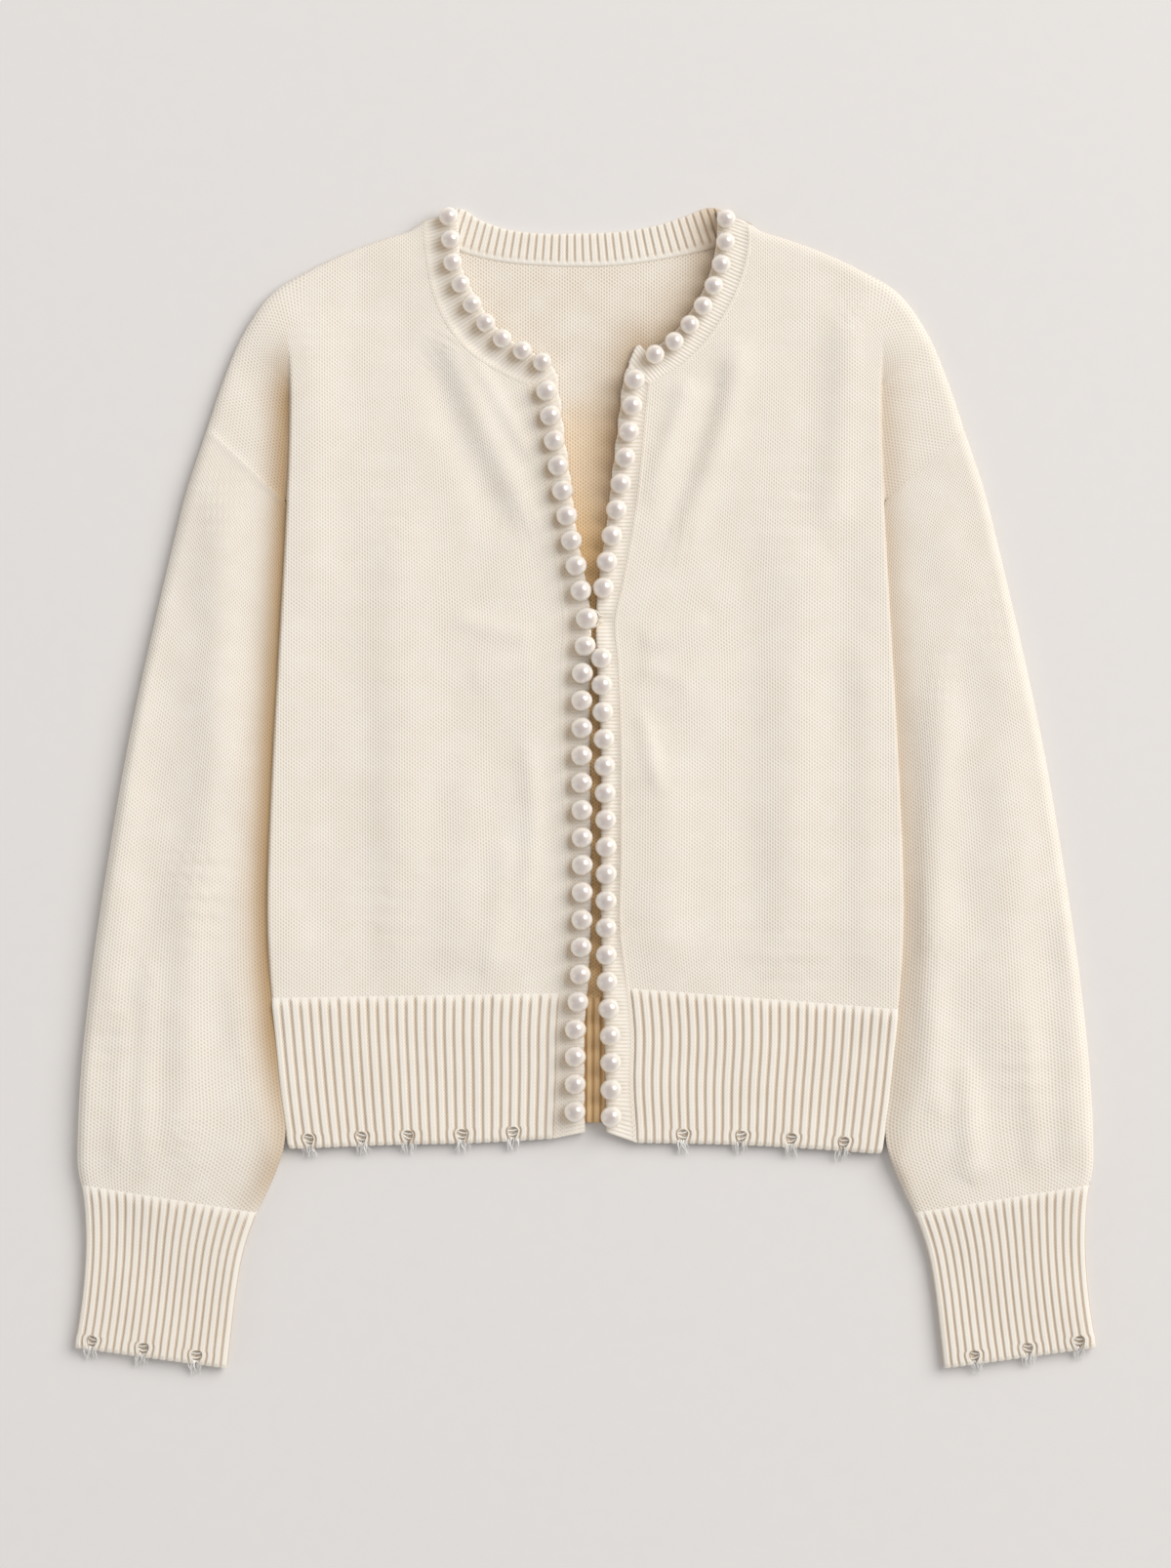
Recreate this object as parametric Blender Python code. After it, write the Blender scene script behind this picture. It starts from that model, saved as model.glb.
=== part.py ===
"""Cropped open-front cardigan in fine cream knit, lying flat on its back.

The garment rests on Z = 0 and is seen from above: +Y points to the neck, +X to the right of the
laid-out garment.  Every sewn piece is its own closed cloth wall.  A wall is worked out in three
steps: a grid of plan points between the piece's cut edges, a height for each point from the way
the cloth lies (rounded at the fold edges, flat elsewhere, with the largest folds), and a second
skin one cloth thickness inside.  Ribs are raised in the outer skin alone.

Tables are in millimetres and have named columns.  "Half" tables give distances from the centre
line and serve both sides of the garment.
"""
import math

import bmesh
import bpy
import numpy as np

MM = 0.001

# --- cloth -------------------------------------------------------------------------------------
JERSEY = 2.2 * MM            # thickness of the plain knit
RIB_CLOTH = 2.2 * MM         # ribbed knit, measured in the grooves
BAND_CLOTH = 3.0 * MM        # doubled knit of the neckband and front bands
SEAM_GAP = 0.4 * MM          # clearance between sewn pieces
LAYER_GAP = 0.4 * MM         # clearance between a piece and what it lies on
NECK_GAP = 0.7 * MM          # between the back panel and the back neckband's curved seam
SLEEVE_GAP = 0.6 * MM        # between the body's side and the sleeve that lies beside it

# --- how the cloth lies --------------------------------------------------------------------------
SIDE_SEAM_Z = 5.0 * MM       # height of the fold edge, where front and back meet
EDGE_ROLL = 6.0 * MM         # width of the rounding at a fold edge, upper layer
UNDER_ROLL = 5.0 * MM        # the same for the layer on the floor
SLOPE_ROLL = 1.16            # a rounding is this much wider measured straight down the shoulder
BODY_HEIGHT = 7.4 * MM       # top of the front panels at mid panel
SIDE_LOFT = 3.4 * MM         # extra height along the side folds
SIDE_LOFT_WIDTH = 26.0 * MM
HEM_HEIGHT = 6.2 * MM        # top of the front hem rib, in its grooves
BAND_TOP = 6.4 * MM          # top of the front bands and front neckband
EDGE_DROP = 0.6 * MM         # how much lower the bands are along their edges
BAND_SCALLOP = 0.8 * MM      # how far a pearl draws the band's edge in
FOLD_TOP_Y = 250.0 * MM      # the armhole fold starts here and is full depth FOLD_RUN lower
FOLD_RUN = 36.0 * MM

# --- ribs ----------------------------------------------------------------------------------------
HEM_RIB_RISE = 1.1 * MM
CUFF_RIB_RISE = 1.0 * MM
NECK_RIB_RISE = 0.9 * MM
HEM_RIBS_LEFT = 27
HEM_RIBS_RIGHT = 28
CUFF_RIBS = 18
NECK_RIBS = 34

# --- pearls --------------------------------------------------------------------------------------
PEARL = 11.4 * MM            # front pearls, diameter
NECK_PEARL = 10.6 * MM
BUTTON_PEARL = 12.6 * MM
BUTTON_Y = 96.4 * MM
THREAD = 0.9 * MM            # sewing thread between pearls, diameter
PEARL_SIDES = 6
PEARL_SWELL = 1.05           # a six-sided ring stands for a round one of the same section
LOOP_YARN = 1.1 * MM
LOOP_TAIL = 5.0 * MM
LOOP_RADIUS = 4.4 * MM       # around the foot of the button pearl

# --- rips in the rib edges -----------------------------------------------------------------------
RIP_HEIGHT = 13.0 * MM
RIP_WIDE_AT = 9.5 * MM       # height above the edge where the rip is widest
RIP_HALF_TOP = 2.0 * MM
RIP_HALF_WIDE = 3.5 * MM
RIP_HALF_MOUTH = 1.2 * MM
FRAY_REACH = 7.0 * MM        # how far the loose yarn ends hang below the edge
FRAY_SPLAY = 3.4 * MM        # how far the outer strands lean out at their tips
FRAY_TIP = 0.2 * MM          # half width of a strand's tip
YARN = 0.9 * MM


def table(columns, *rows):
    """Columns of a millimetre table as arrays in metres, under their names."""
    values = np.array(rows, float) * MM
    return dict(zip(columns.split(), values.T))


# Outline of the shoulder and the sleeve's outer edge, neck to cuff corner.
OUTLINE = table("x y",
                (88.0, 316.5), (97.0, 310.5), (108.0, 307.0), (129.5, 299.3), (151.0, 289.3),
                (172.8, 276.0), (189.0, 253.6), (200.0, 228.0), (209.2, 200.8), (221.0, 164.7),
                (228.0, 136.6), (238.2, 93.4), (252.3, 28.6), (263.5, -36.0), (273.0, -101.0),
                (279.5, -166.0), (280.4, -187.0), (280.2, -208.0), (277.6, -221.0),
                (276.2, -240.0), (278.9, -285.0), (282.2, -306.0))
SHOULDER_CORNER = 5.78       # the place in OUTLINE, between two rows, where the shoulder turns down
SHOULDER_END = 8             # the row of OUTLINE where the armhole seam starts
SHOULDER_LIFT = 45.0 * MM    # the front's rows follow the sloping shoulder over this depth
NECK_SIDE_X = 90.0 * MM      # the back's rows follow the neckline inside this, and are level
NECK_SIDE_RUN = 70.0 * MM    # once this much further out

# Half width of the body: the armhole fold, then the side.
BODY_SIDE = table("y x",
                  (290.0, 163.4), (252.0, 163.4), (190.0, 164.0), (147.0, 166.0), (93.0, 169.0),
                  (28.6, 172.7), (-36.0, 175.6), (-63.0, 176.2), (-101.0, 174.8),
                  (-133.0, 171.9), (-166.0, 168.4), (-200.0, 163.6))

# Inner edge of the sleeve and cuff.
SLEEVE_INNER = table("y x",
                     (158.0, 166.2), (93.0, 169.6), (28.6, 173.3), (-36.0, 176.2),
                     (-63.0, 176.8), (-101.0, 175.4), (-133.0, 172.5), (-166.0, 169.0),
                     (-187.0, 166.6), (-198.0, 168.2), (-209.0, 172.0), (-220.0, 176.8),
                     (-232.0, 182.6), (-252.0, 189.6), (-274.0, 193.8), (-295.0, 196.4),
                     (-318.0, 199.0))

ARMPIT = np.array([165.8, 160.0]) * MM
CUFF_TOP_OUTER = np.array([278.2, -216.0]) * MM
CUFF_TOP_INNER = np.array([182.2, -231.5]) * MM
CUFF_END_OUTER = np.array([282.2, -305.8]) * MM
CUFF_END_INNER = np.array([198.9, -317.5]) * MM

# Height of the sleeve's upper layer and how softly it rises from the inner edge.
SLEEVE_LOFT = table("y height inner_rise",
                    (320.0, 9.2, 26.0), (160.0, 9.6, 26.0), (60.0, 10.4, 24.0),
                    (-60.0, 11.0, 20.0), (-150.0, 11.6, 13.0), (-190.0, 11.4, 9.0),
                    (-216.0, 9.2, 7.0), (-235.0, 7.4, 6.0), (-320.0, 6.8, 6.0))

# Front bands: outer seam, front edge and the line of the pearls.
BAND_LEFT = table("y seam edge pearl",
                  (224.5, -32.8, -17.6, -21.8), (204.0, -28.6, -13.6, -18.6),
                  (182.5, -24.3, -10.3, -15.3), (144.7, -18.9, -5.9, -8.7),
                  (112.3, -14.9, 0.0, -2.6), (95.0, -12.6, 2.0, 0.8),
                  (72.0, -14.0, 1.2, -1.4), (28.6, -14.2, 1.2, -2.0),
                  (-79.4, -11.4, 1.6, -2.2), (-106.0, -14.0, 0.4, -3.2),
                  (-128.0, -15.8, -1.5, -5.4), (-154.0, -16.3, -1.6, -5.6),
                  (-187.0, -17.6, -1.4, -5.9))
BAND_RIGHT = table("y seam edge pearl",
                   (224.5, 36.0, 22.6, 27.0), (190.6, 33.2, 17.0, 22.6),
                   (152.8, 28.9, 13.0, 16.5), (115.0, 22.2, 8.0, 10.1),
                   (96.0, 18.2, 6.6, 8.8), (72.0, 19.8, 7.2, 8.8),
                   (28.6, 21.2, 9.2, 10.2), (-36.0, 21.2, 9.3, 11.4),
                   (-79.4, 21.0, 9.5, 11.4), (-104.0, 24.2, 10.4, 11.9),
                   (-133.0, 27.0, 11.4, 13.7), (-160.0, 26.6, 12.0, 14.0),
                   (-187.0, 28.2, 12.4, 14.3))
BAND_SLANT = 12.5 * MM       # the bands' upper ends rise to the neckline at their front edge
BAND_SLANT_RUN = 34.0 * MM

# Front neckband, shoulder to front edge.
NECK_LEFT = table("outer_x outer_y inner_x inner_y",
                  (-90.2, 315.6, -70.4, 321.6), (-89.6, 306.0, -69.7, 306.0),
                  (-88.5, 296.5, -69.0, 293.2), (-85.0, 277.0, -62.6, 278.1),
                  (-77.8, 260.0, -55.6, 266.2), (-67.5, 246.4, -48.1, 256.5),
                  (-54.0, 235.8, -38.9, 248.9), (-41.5, 229.0, -29.2, 243.5),
                  (-32.0, 225.0, -19.0, 236.5))
NECK_RIGHT = table("outer_x outer_y inner_x inner_y",
                   (91.4, 314.6, 72.6, 321.6), (91.6, 305.0, 72.4, 305.6),
                   (90.4, 295.0, 70.2, 293.2), (84.6, 276.0, 65.0, 278.1),
                   (74.6, 258.0, 57.2, 265.1), (62.8, 243.0, 49.6, 255.4),
                   (50.6, 232.6, 40.2, 248.4), (41.0, 227.2, 31.4, 243.4),
                   (35.6, 225.0, 24.8, 238.6))

# Back neckband, seen on its inner side.
NECK_BACK = table("top_x top_y low_x low_y",
                  (-78.0, 321.0, -84.0, 309.6), (-70.0, 323.4, -70.4, 300.0),
                  (-58.3, 317.0, -59.4, 296.5), (-43.2, 311.8, -44.3, 293.5),
                  (-24.8, 309.6, -25.9, 291.9), (-5.4, 309.6, -4.3, 291.2),
                  (17.8, 310.6, 17.8, 291.8), (40.5, 314.4, 38.9, 294.6),
                  (55.6, 319.4, 58.9, 298.4), (69.4, 323.8, 72.4, 302.0),
                  (78.6, 321.4, 86.0, 310.2))

# Hem rib: upper seam and lower edge.
HEM_LEFT = table("x top low",
                 (-164.0, -113.0, -196.0), (-110.0, -112.4, -194.0),
                 (-60.0, -111.4, -192.9), (-17.0, -110.4, -190.6))
HEM_RIGHT = table("x top low",
                  (28.0, -107.6, -192.9), (85.0, -112.4, -194.0),
                  (130.0, -116.2, -196.2), (164.0, -119.2, -198.6))
BACK_HEM_TOP = -113.0 * MM
BACK_HEM_LOW = -182.0 * MM

# Strings of pearls.  Neckline: first and last place as shares of the neckband's length, how far
# in from its inner edge (share of its width) they sit there, and how many.
NECK_PEARLS = [("pearls_neck_left", NECK_LEFT, 0.02, 0.96, (0.26, 0.10), 9),
               ("pearls_neck_right", NECK_RIGHT, 0.03, 0.84, (0.26, 0.22), 8)]
# Fronts: Y of the first and the last pearl in millimetres, and how many.
FRONT_PEARLS = [("pearls_front_left_upper", BAND_LEFT, 221.9, 111.8, 9),
                ("pearls_front_left_lower", BAND_LEFT, 81.3, -175.3, 18),
                ("pearls_front_right_upper", BAND_RIGHT, 228.0, 113.2, 9),
                ("pearls_front_right_lower", BAND_RIGHT, 74.5, -178.2, 18)]

# A tuft's four rows: the backing's two edges, where the strands leave the rip, and their tips.
FRAY_ROWS = table("top thickness",
                  (5.6, 0.9), (5.6, 0.9), (5.0, 0.7), (0.9, 0.5))

# Centres of the rips along each edge: X on the hem, share of the width on a cuff.
HEM_RIPS_LEFT = [-152.3, -123.0, -97.2, -68.0, -40.0]
HEM_RIPS_RIGHT = [53.5, 85.9, 113.4, 142.0]
CUFF_RIPS = [0.110, 0.440, 0.790]

# Largest folds of the front panels: a ridge (rise > 0) or trough along a line.
FOLDS = table("x1 y1 x2 y2 width rise",
              (-72.0, 246.0, -24.0, 118.0, 13.0, 2.2),
              (-90.0, 262.0, -62.0, 168.0, 10.0, -1.5),
              (76.0, 250.0, 34.0, 118.0, 13.0, 2.2),
              (94.0, 262.0, 66.0, 160.0, 10.0, -1.5),
              (-140.0, 236.0, -120.0, 60.0, 16.0, 1.0),
              (134.0, 236.0, 132.0, -40.0, 14.0, 1.3),
              (112.0, 150.0, 104.0, -90.0, 12.0, -1.0),
              (-96.0, 60.0, -100.0, -96.0, 15.0, 0.9))
# Soft lengthwise folds of the sleeves, in half coordinates.
SLEEVE_FOLDS = table("x1 y1 x2 y2 width rise",
                     (206.0, 150.0, 226.0, -40.0, 8.0, 1.2),
                     (196.0, 40.0, 214.0, -190.0, 8.0, -1.3),
                     (244.0, 20.0, 256.0, -200.0, 8.0, 1.1),
                     (228.0, -110.0, 232.0, -214.0, 7.0, -1.0))

# --- curves and fields ---------------------------------------------------------------------------


def smooth(xs, ys, at):
    """Smooth curve through the points (xs, ys): cubic pieces with averaged slopes, ends held."""
    order = np.argsort(xs)
    xs, ys = xs[order], ys[order]
    slope = np.gradient(ys, xs)
    at = np.clip(at, xs[0], xs[-1])
    i = np.clip(np.searchsorted(xs, at) - 1, 0, len(xs) - 2)
    h = xs[i + 1] - xs[i]
    f = (at - xs[i]) / h
    return ((1 + 2 * f) * (1 - f) ** 2 * ys[i] + f * (1 - f) ** 2 * h * slope[i]
            + f * f * (3 - 2 * f) * ys[i + 1] + f * f * (f - 1) * h * slope[i + 1])


def path(xs, ys, share):
    """Points at shares (0 to 1) of the length of the smooth path through (xs, ys)."""
    length = np.concatenate([[0.0], np.cumsum(np.hypot(np.diff(xs), np.diff(ys)))])
    at = np.asarray(share) * length[-1]
    return np.stack([smooth(length, xs, at), smooth(length, ys, at)], -1)


def distance(points, line):
    """Plan distance from each point to a polyline."""
    a, b = line[:-1], line[1:]
    ab = b - a
    offset = points[..., None, :2] - a
    f = np.clip((offset * ab).sum(-1) / (ab * ab).sum(-1), 0, 1)
    return np.sqrt(((offset - f[..., None] * ab) ** 2).sum(-1)).min(-1)


def crown(reach):
    """Quarter-round profile: 0 at the edge, 1 from reach 1 inwards."""
    return np.sqrt(np.clip(1 - (1 - np.clip(reach, 0, 1)) ** 2, 0, 1))


def ease(value):
    """Smooth step from 0 to 1."""
    value = np.clip(value, 0, 1)
    return value * value * (3 - 2 * value)


def fold_relief(folds, x, y):
    """Sum of the folds of a table: a bell across each line that fades towards its ends."""
    total = np.zeros_like(x)
    for x1, y1, x2, y2, width, rise in zip(*folds.values()):
        length = math.hypot(x2 - x1, y2 - y1)
        ux, uy = (x2 - x1) / length, (y2 - y1) / length
        along = (x - x1) * ux + (y - y1) * uy
        across = (x - x1) * -uy + (y - y1) * ux
        fade = ease(along / (0.35 * length) + 0.3) * ease((length - along) / (0.35 * length) + 0.3)
        total = total + rise * np.exp(-(across / width) ** 2) * fade
    return total


OUTER_EDGE = path(OUTLINE["x"], OUTLINE["y"], np.linspace(0, 1, 160))
SIDE_Y = np.linspace(FOLD_TOP_Y, -200 * MM, 90)
SIDE_EDGE = np.stack([smooth(BODY_SIDE["y"], BODY_SIDE["x"], SIDE_Y), SIDE_Y], -1)
LOW_SIDE_EDGE = SIDE_EDGE[SIDE_Y <= ARMPIT[1]]
INNER_Y = np.linspace(ARMPIT[1], -318 * MM, 110)
INNER_EDGE = np.stack([smooth(SLEEVE_INNER["y"], SLEEVE_INNER["x"], INNER_Y), INNER_Y], -1)


def half(points):
    """Plan points with X measured outwards from the centre line."""
    return np.stack([np.abs(points[..., 0]), points[..., 1]], -1)


def arm_height(points):
    """Upper layer of the sleeve and of the shoulder beside the fold, before the outer rounding."""
    inner = distance(points, SIDE_EDGE)
    y = points[..., 1]
    plateau = smooth(SLEEVE_LOFT["y"], SLEEVE_LOFT["height"], y)
    rise = smooth(SLEEVE_LOFT["y"], SLEEVE_LOFT["inner_rise"], y)
    low = SIDE_SEAM_Z + 0.6 * MM
    return low + (plateau - low) * crown(inner / rise) ** 1.3


def body_height(points, x):
    """Upper face of the front panels inside the side edge."""
    side = distance(points, SIDE_EDGE)
    y = points[..., 1]
    loft = SIDE_LOFT * np.exp(-(side / SIDE_LOFT_WIDTH) ** 2)
    hem = ease((y + 112 * MM) / (30 * MM))
    level = HEM_HEIGHT + (BODY_HEIGHT - HEM_HEIGHT) * hem + loft
    return level + fold_relief(FOLDS, x, y)


def front_height(plan, beside_fold):
    """Upper face of a front panel; `beside_fold` marks the points outside the armhole fold."""
    points = half(plan)
    y = points[..., 1]
    depth = ease((FOLD_TOP_Y - y) / FOLD_RUN)
    top = body_height(points, plan[..., 0])
    arm = arm_height(points)
    shelf = np.where(y > ARMPIT[1], SIDE_SEAM_Z + 0.6 * MM, SIDE_SEAM_Z)
    side = crown(distance(points, SIDE_EDGE) / EDGE_ROLL)
    inside = top - depth * (top - shelf) * (1 - side)
    outside = top + depth * (arm - top)
    height = np.where(beside_fold, outside, inside)
    outer = crown(distance(points, OUTER_EDGE) / EDGE_ROLL)
    return SIDE_SEAM_Z + (height - SIDE_SEAM_Z) * outer


def roll_steps(length, roll, count, bends=(0, 32, 60)):
    """Distances from a rounded edge: some across the rounding, then even steps to `length`."""
    bend = roll * (1 - np.cos(np.radians(bends)))
    rest = roll + (length - roll) * np.linspace(0, 1, count)
    return np.concatenate([bend, rest])


# --- meshes --------------------------------------------------------------------------------------


def grid_normals(grid, wrap=False, up_column=None, up=1.0):
    """Unit normals of a grid; the normals of `up_column` point up (or down where up is -1)."""
    if wrap:
        across = np.roll(grid, -1, 1) - np.roll(grid, 1, 1)
    else:
        across = np.gradient(grid, axis=1)
    normal = np.cross(np.gradient(grid, axis=0), across)
    normal /= np.linalg.norm(normal, axis=-1, keepdims=True) + 1e-12
    sample = normal[..., 2] if up_column is None else normal[:, up_column, 2]
    return normal if sample.mean() * up > 0 else -normal


def unit(vectors):
    return vectors / (np.linalg.norm(vectors, axis=-1, keepdims=True) + 1e-12)


def level_out(normal, where, plan, line):
    """Turn the normals of a fold edge level and square to it, so the two layers meet flush."""
    points = half(plan[where])
    nearest = np.linalg.norm(points[..., None, :] - line, axis=-1).argmin(-1)
    tangent = unit(np.gradient(line, axis=0))[nearest]
    normal[where] = np.stack([-tangent[..., 1] * np.sign(plan[where][..., 0]),
                              tangent[..., 0], np.zeros(tangent.shape[:-1])], -1)


def square_to(normal, where, along):
    """Keep the wall's end at a seam in the upright plane that holds the seam line."""
    out = unit(np.stack([-along[..., 1], along[..., 0], np.zeros(along.shape[:-1])], -1))
    chosen = normal[where]
    normal[where] = unit(chosen - (chosen * out).sum(-1, keepdims=True) * out)


def new_object(name, vertices, faces, material):
    """A closed mesh in the garment's collection, without unused points, faces pointing out."""
    mesh = bpy.data.meshes.new(name)
    mesh.from_pydata([tuple(v) for v in vertices], [], faces)
    shape = bmesh.new()
    shape.from_mesh(mesh)
    loose = [v for v in shape.verts if not v.link_faces]
    bmesh.ops.delete(shape, geom=loose, context="VERTS")
    bmesh.ops.recalc_face_normals(shape, faces=shape.faces)
    if shape.calc_volume(signed=True) < 0:
        bmesh.ops.reverse_faces(shape, faces=shape.faces)
    shape.to_mesh(mesh)
    shape.free()
    mesh.shade_smooth()
    mesh.set_sharp_from_angle(angle=math.radians(40))
    thing = bpy.data.objects.new(name, mesh)
    thing.data.materials.append(material)
    COLLECTION.objects.link(thing)
    return thing


def cloth_wall(name, outer, inner, material, keep=None, wrap=False):
    """Closed wall between two grids, built on the cells of `keep` and closed along their edges."""
    rows, cols = outer.shape[:2]
    across = cols if wrap else cols - 1
    if keep is None:
        keep = np.ones((rows - 1, across), bool)

    def kept(i, j):
        if wrap:
            j %= across
        return 0 <= i < rows - 1 and 0 <= j < across and keep[i, j]

    def corner(skin, i, j):
        return skin * rows * cols + i * cols + j % cols

    faces = []
    for i in range(rows - 1):
        for j in range(across):
            if not kept(i, j):
                continue
            ring = [(i, j), (i + 1, j), (i + 1, j + 1), (i, j + 1)]
            faces.append([corner(0, *p) for p in ring])
            faces.append([corner(1, *p) for p in reversed(ring)])
            beyond = [kept(i, j - 1), kept(i + 1, j), kept(i, j + 1), kept(i - 1, j)]
            for side, closed in enumerate(beyond):
                if not closed:
                    p, q = ring[side], ring[(side + 1) % 4]
                    faces.append([corner(0, *q), corner(0, *p), corner(1, *p), corner(1, *q)])
    vertices = np.concatenate([outer.reshape(-1, 3), inner.reshape(-1, 3)])
    return new_object(name, vertices, faces, material)


def knit_material(name, colour, roughness):
    material = bpy.data.materials.new(name)
    material.use_nodes = True
    shader = material.node_tree.nodes["Principled BSDF"]
    shader.inputs["Base Color"].default_value = (*colour, 1)
    shader.inputs["Roughness"].default_value = roughness
    shader.inputs["Metallic"].default_value = 0.0
    material.diffuse_color = (*colour, 1)
    return material


# --- front panels --------------------------------------------------------------------------------
NECK_ROWS = 5                # rows along the neckline below the shoulder rounding
UPPER_ROWS = 4               # rows from there to the armpit
LOWER_ROWS = 7               # rows from the armpit to the hem rib
PANEL_COLUMNS = 8
FLAP_COLUMNS = 3


def front_rows(side, neck, band, hem_top):
    """Matching points on a front panel's two long edges, shoulder to hem rib."""
    shoulder_y = smooth(OUTLINE["x"], OUTLINE["y"], BODY_SIDE["x"][0])
    neck_end = neck["outer_y"][-1]
    neck_length = np.hypot(np.diff(neck["outer_x"]), np.diff(neck["outer_y"])).sum()
    right_steps = roll_steps(neck_length, EDGE_ROLL, NECK_ROWS)
    left_steps = roll_steps(shoulder_y - neck_end, SLOPE_ROLL * EDGE_ROLL, NECK_ROWS)
    neck_path = path(neck["outer_x"], neck["outer_y"], right_steps / neck_length)
    middle = np.linspace(neck_end, ARMPIT[1], UPPER_ROWS + 1)[1:]
    low_left, low_right = hem_top
    side_low = np.linspace(ARMPIT[1], low_left, LOWER_ROWS + 1)[1:]
    band_low = np.linspace(ARMPIT[1], low_right, LOWER_ROWS + 1)[1:]
    side_y = np.concatenate([shoulder_y - left_steps, middle, side_low])
    band_y = np.concatenate([middle, band_low])
    side_line = np.stack([side * smooth(BODY_SIDE["y"], BODY_SIDE["x"], side_y), side_y], -1)
    band_line = np.stack([smooth(band["y"], band["seam"], band_y), band_y], -1)
    centre_line = np.concatenate([neck_path, band_line])
    return side_line, centre_line, len(left_steps) + len(middle) - 1


def centre_seams(side, neck, band, hem, hem_top):
    """A front's neckline seam, and its band seam down to the hem's lower edge."""
    centre_line = front_rows(side, neck, band, hem_top)[1]
    neck_rows = len(roll_steps(1.0, EDGE_ROLL, NECK_ROWS))
    hem_y = hem_rows(band, hem)
    hem_line = np.stack([smooth(band["y"], band["seam"], hem_y), hem_y], -1)
    return centre_line[:neck_rows], np.concatenate([centre_line[neck_rows - 1:], hem_line])


def hem_rows(band, hem):
    """Y of the front hem rib's rows at its band seam."""
    x = band["seam"][-2]
    top = smooth(hem["x"], hem["top"], x) - SEAM_GAP / 2
    low = smooth(hem["x"], hem["low"], x)
    return np.array([top, low + RIP_HEIGHT, low + RIP_WIDE_AT, low])


def lift_to_shoulder(plan, side_line):
    """Bend the upper rows up to the curved shoulder line, less and less further down."""
    top = plan[0]
    curve = smooth(OUTLINE["x"], OUTLINE["y"], np.abs(top[:, 0]))
    fade = 1 - ease((side_line[0, 1] - side_line[:, 1]) / SHOULDER_LIFT)
    plan[..., 1] += fade[:, None] * (curve - top[:, 1])


def flap_plan(side, side_line, armpit_row, bends=(0, 32, 60)):
    """Plan of the dropped shoulder outside the armhole fold, silhouette first."""
    corner_share, seam_share = outline_share(SHOULDER_CORNER), outline_share(SHOULDER_END)
    fold_share = outline_share_at(BODY_SIDE["x"][0])
    rows = side_line[:armpit_row + 1]
    down = (rows[0, 1] - rows[:, 1]) / (rows[0, 1] - rows[-1, 1])
    edge = path(OUTLINE["x"], OUTLINE["y"], corner_share + (seam_share - corner_share) * down)
    fold = half(rows)
    width = np.linalg.norm(edge - fold, axis=-1)
    steps = np.stack([roll_steps(w, EDGE_ROLL, FLAP_COLUMNS + 1, bends) / w for w in width])
    top = path(OUTLINE["x"], OUTLINE["y"], corner_share + (fold_share - corner_share) * steps[0])
    straight = edge[:, None] + (fold - edge)[:, None] * steps[..., None]
    plan = straight + (1 - down)[:, None, None] * (top - straight[0])
    plan[..., 0] *= side
    return plan[:, :-1]


def outline_share(row):
    """Share of the outline's length at a (fractional) row of its table."""
    steps = np.hypot(np.diff(OUTLINE["x"]), np.diff(OUTLINE["y"]))
    length = np.concatenate([[0.0], np.cumsum(steps)])
    return np.interp(row, np.arange(len(length)), length) / length[-1]


def outline_share_at(x):
    """Share of the outline's length where the shoulder line reaches X."""
    shares = np.linspace(0, outline_share(SHOULDER_END), 400)
    return np.interp(x, path(OUTLINE["x"], OUTLINE["y"], shares)[:, 0], shares)


def front_plan(side, neck, band, hem_top):
    """Plan grid of a front panel: flap columns, then panel columns; with the kept cells."""
    side_line, centre_line, armpit_row = front_rows(side, neck, band, hem_top)
    width = np.linalg.norm(centre_line - side_line, axis=-1)
    steps = np.stack([roll_steps(w, EDGE_ROLL, PANEL_COLUMNS + 1) / w for w in width])
    panel = side_line[:, None] + (centre_line - side_line)[:, None] * steps[..., None]
    lift_to_shoulder(panel, side_line)
    flap = flap_plan(side, side_line, armpit_row)
    below = np.repeat(flap[-1:], len(side_line) - armpit_row - 1, axis=0)
    plan = np.concatenate([np.concatenate([flap, below]), panel], axis=1)
    fold_column = flap.shape[1]
    keep = np.ones((plan.shape[0] - 1, plan.shape[1] - 1), bool)
    keep[armpit_row:, :fold_column] = False
    return plan, keep, fold_column, armpit_row


def close_seams(plan, fold_column, armpit_row):
    """Draw the sewn edges back by half a seam gap: centre edge, hem edge and armhole."""
    gap = SEAM_GAP / 2
    inward = unit(plan[:, -2] - plan[:, -1])
    plan[:, -1] += gap * inward
    plan[-1, fold_column:] += gap * unit(plan[-2, fold_column:] - plan[-1, fold_column:])
    seam = unit(plan[armpit_row, 0] - plan[armpit_row, fold_column])
    out = np.array([-seam[1], seam[0]])
    out *= np.sign((plan[armpit_row - 1, 0] - plan[armpit_row, 0]) @ out)
    plan[armpit_row, :fold_column + 1] += gap * out


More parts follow.
